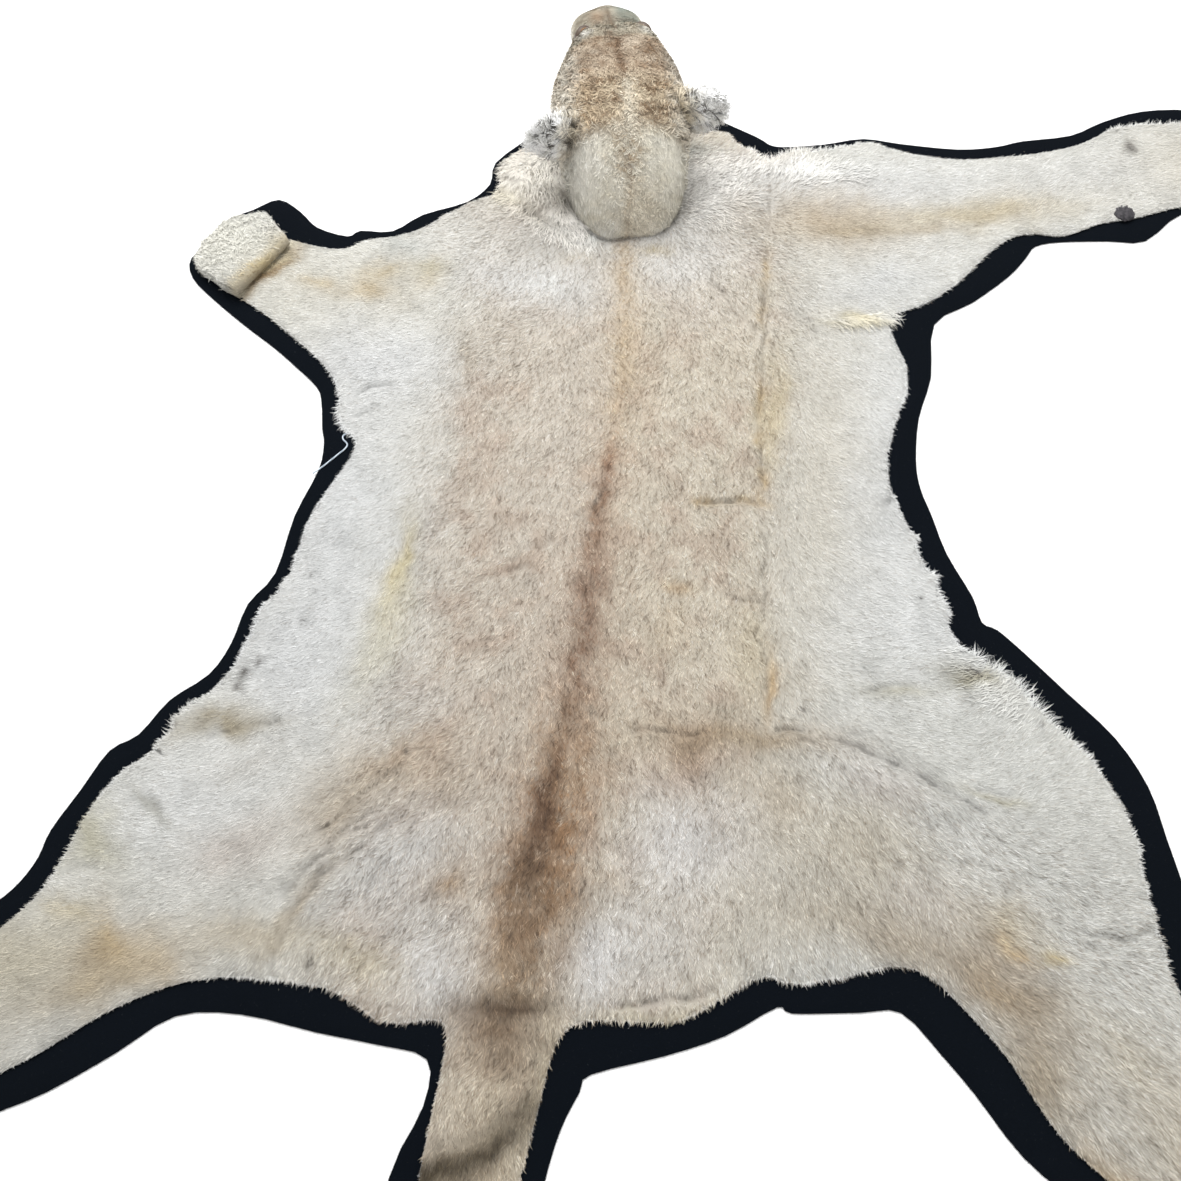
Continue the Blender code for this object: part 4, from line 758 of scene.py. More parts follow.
# Soft patches of colour: name, place, half width and half length, turn in degrees, colour, strength. Most are
# the coat's own markings; some, marked below, are painted shade or painted light.
PATCHES = (
    ("left foreleg", -0.54, 0.66, 0.17, 0.085, 0, (222, 214, 196), 0.85),
    ("left foreleg, warm spot", -0.560, 0.652, 0.034, 0.016, -6, (198, 174, 134), 0.65),
    ("left forearm, tan", -0.475, 0.664, 0.036, 0.018, 10, (190, 164, 122), 0.8),
    ("left forearm, upper tan", -0.452, 0.706, 0.036, 0.014, 40, (202, 178, 136), 0.7),
    ("left elbow, tan", -0.385, 0.706, 0.022, 0.030, 0, (198, 174, 136), 0.7),
    ("left elbow, lower", -0.420, 0.640, 0.030, 0.030, 0, (216, 204, 182), 0.5),
    ("left shoulder, white", -0.215, 0.712, 0.110, 0.052, -10, (244, 243, 238), 0.9),
    ("left shoulder, cream", -0.330, 0.770, 0.120, 0.050, -8, (228, 220, 206), 0.6),
    ("left shoulder, tan", -0.386, 0.711, 0.034, 0.022, 12, (192, 180, 152), 0.85),
    ("left shoulder, grey", -0.432, 0.753, 0.036, 0.020, 0, (200, 198, 188), 0.7),
    ("left neck, spot", -0.150, 0.762, 0.030, 0.012, 8, (198, 174, 134), 0.75),
    # Painted light: white fur made brighter still where the head and ear shade the neck
    ("left neck, upper, painted light", -0.235, 0.925, 0.080, 0.070, 40, (238, 232, 218), 0.9),
    ("left collar", -0.290, 0.880, 0.080, 0.020, -32, (206, 196, 168), 0.6),
    ("left chest, streak", -0.295, 0.545, 0.012, 0.040, 8, (178, 160, 134), 0.55),
    ("folded paw, white", -0.715, 0.712, 0.075, 0.065, 0, (232, 226, 208), 0.9),
    # Painted shade on the paw's roll: yellow-brown on its curve and a dark shadow at its foot by the forearm
    ("folded paw, yellow painted shade on the roll", -0.650, 0.676, 0.085, 0.016, 61, (200, 176, 128), 0.85),
    ("folded paw, painted shadow at the roll's foot", -0.638, 0.666, 0.080, 0.009, 61, (132, 104, 66), 0.95),
    ("left armpit, white", -0.430, 0.520, 0.090, 0.060, 0, (230, 227, 222), 0.9),
    ("left flank, white", -0.440, 0.250, 0.085, 0.250, 8, (226, 224, 220), 0.95),
    ("left belly, white", -0.470, 0.040, 0.090, 0.110, 20, (228, 226, 222), 0.95),
    ("left flank, yellow strip", -0.334, 0.175, 0.013, 0.075, 4, (216, 196, 148), 0.85),
    ("left flank, lower strip", -0.345, 0.070, 0.026, 0.090, -12, (222, 211, 182), 0.6),
    ("left ribs, brown", -0.180, 0.192, 0.040, 0.015, 12, (178, 154, 134), 0.65),
    ("left ribs, lower brown", -0.196, 0.085, 0.036, 0.018, 18, (184, 160, 140), 0.55),
    ("left rump, tan", -0.215, -0.125, 0.050, 0.030, 20, (194, 174, 150), 0.6),
    ("left loin, brown", -0.244, -0.058, 0.032, 0.062, -16, (186, 158, 134), 0.65),
    ("left thigh, tan", -0.330, -0.150, 0.100, 0.052, 42, (200, 180, 154), 0.7),
    ("left thigh, streak", -0.376, -0.292, 0.014, 0.062, -28, (180, 158, 126), 0.7),
    # Painted shade along the left thigh's folds
    ("left thigh, painted fold shade", -0.360, -0.188, 0.022, 0.040, -40, (182, 158, 126), 0.55),
    ("left thigh, inner", -0.430, -0.348, 0.090, 0.028, 6, (194, 176, 148), 0.65),
    ("left thigh, brown", -0.300, -0.100, 0.040, 0.016, 50, (176, 150, 122), 0.6),
    ("left haunch, cream", -0.560, -0.190, 0.130, 0.085, 20, (238, 235, 228), 0.85),
    # Painted shade along the left hip's fold
    ("left hip, painted fold shade", -0.534, -0.078, 0.068, 0.020, 10, (164, 150, 124), 0.8),
    ("left haunch, rim", -0.672, -0.250, 0.030, 0.060, 50, (186, 178, 150), 0.7),
    # Painted shade along the left haunch's fold
    ("left haunch, painted fold shade", -0.600, -0.205, 0.046, 0.008, -30, (176, 172, 160), 0.7),
    ("left haunch, pink", -0.470, -0.240, 0.060, 0.036, 25, (206, 190, 176), 0.6),
    ("left hip, lower shade", -0.480, -0.130, 0.050, 0.022, 25, (214, 206, 194), 0.5),
    ("left rump, white", -0.262, -0.235, 0.095, 0.060, 38, (221, 217, 210), 0.85),
    ("left buttock, white", -0.206, -0.325, 0.060, 0.070, 20, (219, 214, 206), 0.7),
    ("left buttock, edge", -0.275, -0.375, 0.080, 0.022, -14, (216, 202, 172), 0.6),
    ("left rump, brown", -0.192, -0.248, 0.028, 0.020, 20, (168, 142, 114), 0.85),
    ("left tail root, white", -0.178, -0.382, 0.050, 0.038, 0, (244, 242, 238), 0.95),
    ("left hock, orange", -0.600, -0.372, 0.040, 0.018, -48, (208, 176, 128), 0.85),
    ("left hock, tan", -0.545, -0.395, 0.050, 0.030, -10, (210, 186, 152), 0.7),
    ("left hock, yellow", -0.668, -0.348, 0.034, 0.012, -30, (212, 190, 146), 0.6),
    ("left shank, tan", -0.610, -0.430, 0.075, 0.032, 25, (186, 166, 136), 0.8),
    ("left foot, cream", -0.720, -0.410, 0.090, 0.055, 30, (200, 188, 162), 0.7),
    ("left foot, tan", -0.860, -0.540, 0.150, 0.100, 38, (190, 174, 148), 0.7),
    # White fur, made brighter as painted light where the head shades the nape
    ("nape, white with painted light", -0.060, 0.810, 0.170, 0.060, 0, (240, 238, 230), 0.95),
    ("right neck, white", 0.035, 0.915, 0.085, 0.085, 0, (233, 230, 222), 0.9),
    # Painted shadow under the right ear
    ("right neck, painted shadow under the ear", 0.022, 1.012, 0.040, 0.022, 0, (112, 114, 104), 0.95),
    ("right shoulder, white", 0.120, 0.945, 0.110, 0.065, 0, (232, 229, 221), 0.9),
    ("right withers, white", 0.010, 0.765, 0.080, 0.060, -30, (234, 230, 222), 0.8),
    ("right withers, tan", -0.020, 0.790, 0.026, 0.011, 10, (196, 178, 142), 0.7),
    ("right arm, white", 0.330, 0.965, 0.190, 0.044, 6, (230, 227, 221), 0.9),
    ("right forearm, white", 0.680, 1.030, 0.200, 0.050, 13, (226, 221, 211), 0.8),
    ("right shoulder, tan", 0.266, 0.884, 0.122, 0.056, 4, (192, 170, 142), 0.95),
    ("right shoulder, streak", 0.300, 0.868, 0.060, 0.011, 8, (170, 148, 118), 0.7),
    ("right forearm, tan", 0.500, 0.926, 0.160, 0.030, 14, (198, 180, 148), 0.85),
    ("right forearm, brown", 0.420, 0.880, 0.050, 0.010, 8, (184, 164, 134), 0.5),
    ("right hand", 0.900, 1.080, 0.110, 0.080, 4, (218, 206, 184), 0.7),
    ("right elbow, white", 0.330, 0.755, 0.085, 0.038, 22, (226, 223, 217), 0.85),
    ("right elbow, shade", 0.270, 0.690, 0.040, 0.020, -20, (206, 198, 182), 0.6),
    ("right armpit, yellow", 0.312, 0.688, 0.046, 0.010, 18, (226, 208, 158), 0.85),
    ("right flank, white", 0.375, 0.420, 0.080, 0.260, -6, (227, 225, 220), 0.95),
    ("right belly, white", 0.435, 0.160, 0.100, 0.120, 24, (229, 227, 222), 0.95),
    ("right ribs, cream", 0.260, 0.400, 0.060, 0.260, -3, (216, 206, 188), 0.75),
    ("right withers, pale", 0.075, 0.700, 0.060, 0.060, 0, (220, 209, 192), 0.6),
    ("right ribs, tan", 0.225, 0.072, 0.055, 0.045, 0, (206, 192, 170), 0.55),
    ("right ribs, yellow", 0.186, 0.500, 0.018, 0.100, -4, (206, 184, 144), 0.6),
    ("right loin, orange", 0.203, 0.066, 0.008, 0.042, -4, (204, 164, 116), 0.85),
    ("right loin, yellow", 0.180, 0.110, 0.026, 0.080, -4, (210, 190, 154), 0.5),
    ("right loin, spot", 0.064, 0.197, 0.024, 0.011, 0, (196, 166, 130), 0.75),
    ("right loin, upper", 0.055, 0.130, 0.030, 0.040, 0, (200, 180, 152), 0.5),
    ("right haunch, pale", 0.480, -0.020, 0.170, 0.105, -30, (222, 219, 209), 0.9),
    ("right thigh, pale", 0.600, -0.150, 0.110, 0.080, -35, (220, 216, 205), 0.85),
    ("right hip, brown", 0.106, -0.050, 0.042, 0.060, 6, (172, 145, 122), 0.75),
    ("right hip, dark core", 0.109, -0.020, 0.022, 0.014, 8, (140, 112, 92), 0.7),
    ("right hip, brown band", 0.175, -0.016, 0.120, 0.024, 4, (172, 150, 122), 0.75),
    ("right hip, lower brown", 0.215, -0.110, 0.050, 0.050, 0, (184, 162, 134), 0.6),
    ("right rump, white", 0.108, -0.170, 0.074, 0.064, 12, (238, 234, 228), 0.9),
    ("right thigh, pink", 0.360, -0.062, 0.056, 0.030, -30, (224, 212, 204), 0.6),
    ("right thigh, warm", 0.488, -0.268, 0.044, 0.040, -20, (216, 204, 188), 0.6),
    ("right leg, brown", 0.562, -0.312, 0.040, 0.036, -40, (156, 138, 114), 0.5),
    ("left loin, light", -0.272, -0.014, 0.054, 0.040, 20, (222, 214, 202), 0.6),
    ("left leg, tan", -0.616, -0.388, 0.050, 0.030, 20, (170, 144, 106), 0.6),
    ("right rump, tan spot", 0.020, -0.228, 0.030, 0.014, -10, (190, 166, 136), 0.65),
    ("right rump, pale", 0.050, -0.300, 0.085, 0.070, 0, (226, 221, 212), 0.85),
    ("right tail root, white", 0.004, -0.340, 0.034, 0.040, 0, (246, 244, 240), 0.9),
    ("stripe, brown side", -0.055, -0.232, 0.030, 0.056, 12, (144, 118, 92), 0.5),
    ("right buttock, edge", 0.106, -0.384, 0.070, 0.011, 10, (228, 216, 188), 0.85),
    ("right thigh, tan", 0.330, -0.150, 0.110, 0.085, 0, (203, 189, 166), 0.7),
    ("right thigh, grey tan", 0.300, -0.240, 0.110, 0.040, 0, (196, 181, 158), 0.6),
    ("right haunch, light", 0.465, -0.110, 0.060, 0.040, -30, (228, 224, 214), 0.6),
    # Painted shade along the belly's fold, at the belly's tip and along the haunch's crease
    ("right belly, painted fold shade", 0.380, 0.074, 0.050, 0.012, 8, (190, 182, 158), 0.6),
    ("right belly tip, painted shade", 0.474, 0.108, 0.040, 0.018, -20, (152, 144, 120), 0.75),
    ("right haunch, painted crease shade", 0.510, -0.053, 0.040, 0.007, -8, (182, 174, 150), 0.7),
    ("right thigh, dull pink", 0.440, -0.205, 0.060, 0.030, 0, (208, 196, 182), 0.6),
    ("right hock, orange", 0.538, -0.260, 0.020, 0.010, -10, (196, 152, 94), 0.9),
    ("right hock, orange top", 0.514, -0.249, 0.020, 0.012, -20, (206, 172, 126), 0.7),
    ("right hock, yellow", 0.593, -0.254, 0.018, 0.009, 0, (212, 186, 134), 0.75),
    ("right hock, tan", 0.520, -0.225, 0.050, 0.030, -20, (206, 186, 152), 0.6),
    ("right thigh, lower", 0.400, -0.262, 0.070, 0.034, -10, (188, 170, 146), 0.6),
    ("right shank, brown", 0.510, -0.302, 0.070, 0.036, -30, (164, 142, 114), 0.85),
    ("right shank, pale", 0.670, -0.360, 0.060, 0.035, -40, (216, 205, 184), 0.7),
    ("right shank, lower", 0.560, -0.400, 0.050, 0.070, 30, (176, 156, 128), 0.7),
    ("right foot, orange", 0.640, -0.500, 0.045, 0.020, -20, (194, 154, 98), 0.7),
    ("right foot", 0.780, -0.500, 0.140, 0.090, -48, (202, 184, 156), 0.7),
)
TAIL_PATCHES = (
    ("tail", -0.108, -0.700, 0.070, 0.300, 0, (206, 188, 160), 0.80),
    ("tail, edge", -0.045, -0.480, 0.016, 0.080, -8, (196, 182, 156), 0.7),
    # The three dark bands across the tail are painted shadows of folds in it
    ("tail, first painted fold shadow", -0.096, -0.391, 0.056, 0.012, 10, (56, 42, 30), 0.97),
    ("tail, below the band", -0.104, -0.418, 0.050, 0.026, 8, (122, 98, 74), 0.75),
    ("tail, brown", -0.090, -0.455, 0.030, 0.034, 0, (146, 126, 104), 0.7),
    ("tail, second painted fold shadow", -0.100, -0.548, 0.080, 0.018, 34, (58, 48, 32), 0.95),
    ("tail, third painted fold shadow", -0.155, -0.590, 0.060, 0.024, 24, (64, 54, 36), 0.9),
    ("tail tuft", -0.125, -1.180, 0.080, 0.090, 0, (70, 55, 42), 0.9),
)
# Small dark spots on the white flanks: place and size
SPECKS = (
    (-0.456, 0.080, 0.0050), (-0.503, 0.013, 0.0040), (-0.520, -0.004, 0.0060), (-0.526, -0.025, 0.0050),
    (-0.459, 0.153, 0.0030), (-0.448, 0.130, 0.0025), (0.409, 0.217, 0.0040), (0.483, 0.112, 0.0050),
    (0.474, 0.118, 0.0030), (0.252, 0.033, 0.0030), (0.098, 0.533, 0.0025), (-0.137, -0.027, 0.0025),
    (-0.278, -0.088, 0.0030), (-0.349, -0.372, 0.0060), (0.758, 1.102, 0.0090), (0.766, 1.096, 0.0060),
)
# The dark stripe on the spine and the haze at its sides, from the nape down: how far along the back, its
# middle, half width, colour and strength
STRIPE = (
    (0.80, -0.074, 0.013, 210, 184, 152, 0.55), (0.68, -0.062, 0.014, 210, 184, 152, 0.70),
    (0.54, -0.049, 0.016, 208, 182, 148, 0.55), (0.43, -0.053, 0.012, 190, 160, 132, 0.45),
    (0.38, -0.057, 0.009, 148, 115, 92, 0.85), (0.29, -0.062, 0.016, 148, 120, 98, 0.75),
    (0.20, -0.057, 0.023, 143, 115, 95, 0.78), (0.07, -0.062, 0.018, 132, 104, 84, 0.84),
    (-0.04, -0.067, 0.012, 136, 108, 84, 0.73), (-0.12, -0.083, 0.017, 86, 58, 38, 0.95),
    (-0.20, -0.086, 0.020, 78, 50, 30, 0.97), (-0.25, -0.086, 0.028, 88, 58, 32, 0.95),
    (-0.30, -0.088, 0.030, 110, 76, 48, 0.85), (-0.36, -0.090, 0.030, 126, 94, 66, 0.65),
)
HAZE = (
    (0.79, -0.073, 0.036, 218, 200, 174, 0.40), (0.53, -0.047, 0.047, 208, 185, 156, 0.50),
    (0.35, -0.056, 0.042, 196, 172, 148, 0.55), (0.16, -0.057, 0.064, 190, 166, 144, 0.63),
    (0.04, -0.060, 0.069, 186, 161, 138, 0.65), (-0.06, -0.068, 0.058, 168, 138, 110, 0.80),
    (-0.14, -0.066, 0.062, 150, 112, 78, 0.88), (-0.25, -0.082, 0.058, 142, 104, 70, 0.92),
    (-0.33, -0.090, 0.050, 150, 118, 88, 0.90), (-0.38, -0.092, 0.050, 160, 134, 106, 0.75),
)


def spine_at(y):
    """How far to the right the middle of the back is at each height along it."""
    return np.interp(y, SPINE[::-1, 0], SPINE[::-1, 1])


def band(x, y, rows):
    """How much each place lies in a band down the spine, from 0 to 1, and the band's colour there."""
    rows = np.array(rows)[::-1]
    middle, half, red, green, blue, strength = (np.interp(y, rows[:, 0], rows[:, k]) for k in range(1, 7))
    ends = window(y, rows[0, 0] - 0.05, rows[0, 0], rows[-1, 0], rows[-1, 0] + 0.03)
    return (strength * ends * hump(x, middle, half))[:, None], dye(red, green, blue).T


def painted(colour, shade, share):
    """The colours with a share of another one laid over each."""
    share = share[:, None]
    return colour * (1 - share) + dye(*shade) * share


def coat_colour(x, y):
    """The coat's colour at each place, as it looks from above."""
    warp_x = x + 0.012 * drift(x, y, 0.050, 31) + 0.006 * drift(x, y, 0.018, 32)
    warp_y = y + 0.012 * drift(x, y, 0.050, 33) + 0.006 * drift(x, y, 0.018, 34)
    off = warp_x - spine_at(warp_y)
    to_flank = np.where(off < 0, soft_step(-off, 0.20, 0.33), soft_step(off, 0.22, 0.38))
    back = np.where((off < 0)[:, None], dye(218, 205, 187), dye(219, 206, 184))
    cloud = soft_step(drift(x, y, 0.045, 43) + 0.7 * drift(x, y, 0.018, 44), -0.2, 1.0)
    back = painted(back, (188, 164, 144), 0.60 * (1 - to_flank) * cloud)
    colour = painted(back, (228, 223, 211), to_flank)

    def patched(colour, patches):
        for _, px, py, wide, long, turn, shade, strength in patches:
            c, s = math.cos(math.radians(turn)), math.sin(math.radians(turn))
            u = ((warp_x - px) * c + (warp_y - py) * s) / wide
            v = (-(warp_x - px) * s + (warp_y - py) * c) / long
            colour = painted(colour, shade, min(0.97, 1.25 * strength) * np.exp(-0.85 * (u * u + v * v)))
        return colour

    colour = patched(colour, PATCHES)
    ragged = 1.1 + 0.35 * drift(x, y, 0.012, 35) + 0.50 * drift(x, y, 0.0045, 36)
    sway = x + 0.007 * drift(x, y, 0.030, 45) + 0.003 * drift(x, y, 0.009, 46)
    for rows in (HAZE, STRIPE):
        weight, shade = band(sway, y, rows)
        weight = np.clip(weight * ragged[:, None], 0, 0.97)
        colour = colour * (1 - weight) + shade * weight
    colour = patched(colour, TAIL_PATCHES)
    for name, _, _, _, way in CREASES:
        if name in ("long parting", "cross parting"):
            away, _ = near_way(x + 0.005 * drift(x, y, 0.020, 37), y, way)
            stained = np.clip(0.24 + 0.50 * drift(x, y, 0.030, 38), 0, 1)
            colour = painted(colour, (196, 166, 122), hump(away, 0, 0.009) * stained * ragged)
    for sx, sy, size in SPECKS:
        colour = painted(colour, (62, 54, 48), hump(np.hypot(x - sx, (y - sy) * 0.7), 0, size))
    mottle = 1 + 0.080 * drift(x, y, 0.035, 39) + 0.095 * drift(x, y, 0.014, 40)
    mottle += 0.09 * drift(x, y, 0.006, 47)
    # Painted shade: the coat darkens towards the tail, where less light falls than near the head
    mottle *= 0.96 - 0.14 * until(y, -0.38, 0.62)
    cool = np.where(off < 0, soft_step(-off, 0.16, 0.26), soft_step(off, 0.18, 0.30))[:, None]
    colour = colour * (1 + cool * np.array((-0.035, 0.0, 0.030)))
    return (colour * mottle[:, None]).clip(0.01, 0.9)


def dyed_for(seen):
    """The hairs' own colour that looks as given once they shade each other."""
    return seen / (SHADED + 0.45 * seen)


def back_share(x, y):
    """1 along the back, where the hair is coarse and dark-tipped, and 0 on the flanks and legs."""
    off = x - spine_at(y)
    side = np.where(off < 0, soft_step(-off, 0.20, 0.32), soft_step(off, 0.22, 0.36))
    return 1 - side


def coarse_share(x, y):
    """1 where the hair lies in rough tufts: along the back, on the right haunch and on the tail."""
    haunch = soft_step(x, 0.12, 0.28) * soft_step(0.34 - y, 0.0, 0.30)
    haunch *= 1 - 0.8 * soft_step(x, 0.22, 0.30) * soft_step(y + 0.37 * x - 0.100, -0.03, 0.03)
    tail = soft_step(-0.34 - y, 0.0, 0.05) * (np.abs(x + 0.11) < 0.13)
    return np.maximum(back_share(x, y), np.maximum(0.8 * haunch, tail))


def streaks(x, y, angle):
    """Painted light and shade in streaks that follow the lying hair, light on its clumps and dark between
    them, from -1 to 1.
    """
    total = np.zeros(len(x))
    for k in range(-4, 5):
        total += drift(x + k * 0.0016 * np.cos(angle), y + k * 0.0016 * np.sin(angle), 0.0024, 55)
    return np.clip(total / 4.0, -1, 1)


def lie_at(x, y):
    """The way that the hair lies at each place, in radians."""
    cos_sum, sin_sum = np.zeros(len(x)), np.zeros(len(x))
    for px, py, degrees, reach in LIE:
        weight = reach ** 2 / ((x - px) ** 2 + (y - py) ** 2 + 0.0006) ** 2
        cos_sum += weight * math.cos(math.radians(degrees))
        sin_sum += weight * math.sin(math.radians(degrees))
    swirl = 0.22 * drift(x, y, 0.070, 41) + 0.26 * drift(x, y, 0.026, 42)
    return np.arctan2(sin_sum, cos_sum) + swirl


def unit(ways):
    """The ways, each with a length of 1."""
    return ways / np.linalg.norm(ways, axis=1)[:, None]


def along_skin(ways, slant):
    """The ways without what leads off the skin, whose normals are given."""
    return ways - slant * np.sum(ways * slant, axis=1)[:, None]


def swung(first, second, angle):
    """The first ways, each turned towards the second by its own angle."""
    return first * np.cos(angle)[:, None] + second * np.sin(angle)[:, None]


def roots_on(piece, count, seed, wanted):
    """Even random places on the faces that the test accepts, with the smooth normal at each."""
    mesh = piece.data
    mesh.calc_loop_triangles()
    corners = np.empty(3 * len(mesh.loop_triangles), np.int32)
    mesh.loop_triangles.foreach_get("vertices", corners)
    corners = corners.reshape(-1, 3)
    places, slants = read_places(piece)
    a, b, c = places[corners[:, 0]], places[corners[:, 1]], places[corners[:, 2]]
    facing = np.cross(b - a, c - a)
    area = np.linalg.norm(facing, axis=1) / 2
    facing /= np.maximum(2 * area, 1e-12)[:, None]
    share = area * wanted((a + b + c) / 3, facing)
    maker = np.random.default_rng(seed)
    heap = np.cumsum(share)
    chosen = np.searchsorted(heap, maker.random(count) * heap[-1])
    u, v = maker.random(count), maker.random(count)
    over = u + v > 1
    u, v = np.where(over, 1 - u, u), np.where(over, 1 - v, v)
    w = 1 - u - v
    mix = np.stack((w, u, v), axis=1)[:, :, None]
    trio = corners[chosen]
    root, slant = np.sum(places[trio] * mix, axis=1), np.sum(slants[trio] * mix, axis=1)
    return root, unit(0.5 * slant + 0.5 * facing[chosen])


def tufts_of(x, y, size, seed):
    """The middle of the tuft that each hair belongs to, and a steady number from 0 to 1 for that tuft."""
    gx, gy = np.floor(x / size), np.floor(y / size)
    best = np.full(len(x), 1e9)
    middle_x, middle_y, mark = np.zeros(len(x)), np.zeros(len(x)), np.zeros(len(x))
    for i in (-1, 0, 1):
        for j in (-1, 0, 1):
            cx = (gx + i + hashed(gx + i, gy + j, seed)) * size
            cy = (gy + j + hashed(gx + i, gy + j, seed + 1)) * size
            away = (cx - x) ** 2 + (cy - y) ** 2
            closer = away < best
            best = np.where(closer, away, best)
            middle_x, middle_y = np.where(closer, cx, middle_x), np.where(closer, cy, middle_y)
            mark = np.where(closer, hashed(gx + i, gy + j, seed + 2), mark)
    return middle_x, middle_y, mark


def in_order(x, y, strip):
    """The order that keeps neighbours together, in strips across the piece."""
    return np.lexsort((x, np.floor(y / strip)))


def grown_on(place, slant, maker):
    """How each hair of the coat runs from its root, which way and how broad it is, and its colours."""
    x, y = place[:, 0], place[:, 1]
    tuft_x, tuft_y, mark = tufts_of(x, y, TUFT_SIZE, 51)
    angle = lie_at(tuft_x, tuft_y) + (0.70 + 0.50 * back_share(tuft_x, tuft_y)) * (mark - 0.5)
    share = coarse_share(tuft_x, tuft_y)
    _, near, dark = creased(x, y)
    streak = streaks(x, y, lie_at(x, y))
    long = (0.0074 + 0.0010 * share) * (0.75 + 0.5 * maker.random(len(x))) * (1 - 0.4 * near)
    reach = long * (0.9 + 0.25 * np.mod(mark * 7.3, 1))
    goal_x = tuft_x + np.cos(angle) * reach
    goal_y = tuft_y + np.sin(angle) * reach
    own = maker.normal(0, 0.0012, (len(x), 2))
    way = np.stack((
        0.50 * (goal_x - x) + 0.50 * np.cos(angle) * reach + own[:, 0],
        0.50 * (goal_y - y) + 0.50 * np.sin(angle) * reach + own[:, 1],
        np.zeros(len(x)),
    ), axis=1)
    way = along_skin(way, slant)
    lift = 0.0008 + 0.0005 * streak + 0.0012 * np.mod(mark * 13.7, 1) + 0.0008 * share
    lift += 0.0010 * maker.random(len(x))
    tip = place + way + slant * (lift * (1 - 0.6 * near))[:, None]
    tip[:, 2] = np.maximum(tip[:, 2], LOWEST_HAIR)
    side = np.cross(way, slant)
    side /= np.maximum(np.linalg.norm(side, axis=1), 1e-9)[:, None]
    side = swung(side, slant, maker.normal(0, 0.35, len(x)))
    widths = np.stack((0.00033 + 0.00018 * maker.random(len(x)), np.zeros(len(x))), axis=1)
    tuft_shade = 1 + (0.14 + 0.11 * share) * (2 * np.mod(mark * 29.3, 1) - 1)
    # Painted light and shade: lighter along the hair clumps, darker in the gaps between them
    tuft_shade *= 1 + (0.12 + 0.12 * share) * streak
    tuft_shade *= 1 - (0.18 + 0.18 * share) * soft_step(-streak, 0.2, 0.7)
    hair_shade = 1 + (0.17 + 0.09 * share) * maker.normal(0, 1, len(x)).clip(-2, 2)
    colour = dyed_for(coat_colour(x + 0.5 * way[:, 0], y + 0.5 * way[:, 1]) * tuft_shade[:, None])
    # Painted shade: tips darker over creases, roots darker everywhere and most near creases; painted light:
    # tips lighter, except the dark-tipped hairs
    _, _, tip_dark = creased(tip[:, 0], tip[:, 1])
    peppered = (maker.random(len(x)) < (0.05 + 0.27 * share) * (1 - 1.2 * streak))[:, None]
    tip_colour = colour * (hair_shade * (1 - 0.85 * tip_dark))[:, None]
    tip_colour = np.where(peppered, tip_colour * np.array((0.46, 0.38, 0.31)), tip_colour * 1.12)
    root_colour = colour * ((0.64 - 0.18 * near) * (1 - 0.8 * dark))[:, None]
    return (
        np.stack((place - slant * 0.0007, tip), axis=1), side, widths,
        np.stack((root_colour, tip_colour), axis=1).clip(0.002, 0.93),
    )


def hair_material(name, roughness):
    """Hair that takes its colour from each strand."""
    material, tree, shader = finish_material(name, roughness)
    tint = node_in(tree, "ShaderNodeAttribute", attribute_name="hair_colour")
    place = node_in(tree, "ShaderNodeTexCoord")
    shaft = node_in(tree, "ShaderNodeTexNoise", Scale=420.0, Detail=2.0)
    shade = node_in(tree, "ShaderNodeMapRange")
    shade.inputs["To Min"].default_value = 0.90
    shade.inputs["To Max"].default_value = 1.10
    mix = node_in(tree, "ShaderNodeVectorMath", operation="SCALE")
    dull = node_in(tree, "ShaderNodeMapRange")
    dull.inputs["To Min"].default_value = roughness - 0.12
    dull.inputs["To Max"].default_value = roughness + 0.12
    wire(
        tree, (place, "Object", shaft, "Vector"), (shaft, "Fac", shade, "Value"),
        (shaft, "Fac", dull, "Value"), (tint, "Color", mix, 0), (shade, "Result", mix, "Scale"),
        (mix, "Vector", shader, "Base Color"), (dull, "Result", shader, "Roughness"),
    )
    shader.inputs["Specular IOR Level"].default_value = 0.35
    return material


def give_colours(piece, colours):
    """Stores a colour at each point of the mesh, which the hair's material reads."""
    tint = piece.data.color_attributes.new("hair_colour", "FLOAT_COLOR", "POINT")
    with_alpha = np.hstack((colours, np.ones((len(colours), 1))))
    tint.data.foreach_set("color", with_alpha.astype(np.float32).ravel())


coat_material = hair_material("lion hair", 0.62)
skin_material = hair_material("hair roots in painted shade", 0.8)
# The skin under the coat takes the coat's colour with painted shade: darker all over among the roots, and
# darker still in the creases
places, _ = read_places(hide)
_, _, dark = creased(places[:, 0], places[:, 1])
give_colours(hide, dyed_for(coat_colour(places[:, 0], places[:, 1]) * (1 - 0.7 * dark)[:, None]) * 0.58)
hide.data.materials.append(skin_material)


def coat_faces(middle, facing):
    """1 on the faces that the coat grows from: the upper side, and the rolled sides of the folded paw."""
    rolled = at_fold(middle[:, 0], middle[:, 1]) & (facing[:, 2] > -0.35) & (middle[:, 2] > 0.012)
    return ((facing[:, 2] > 0.25) | rolled).astype(float)


maker = np.random.default_rng(5)
root, slant = roots_on(hide, COAT_HAIRS, 7, coat_faces)
order = np.argsort(-root[:, 1])
coat = []
for number in range(COAT_PIECES):
    chosen = order[number * COAT_HAIRS // COAT_PIECES:(number + 1) * COAT_HAIRS // COAT_PIECES]
    chosen = chosen[in_order(root[chosen, 0], root[chosen, 1], 0.006)]
    patch = strands(f"coat_{number + 1}", *grown_on(root[chosen], slant[chosen], maker))
    patch.data.materials.append(coat_material)
    coat.append(patch)


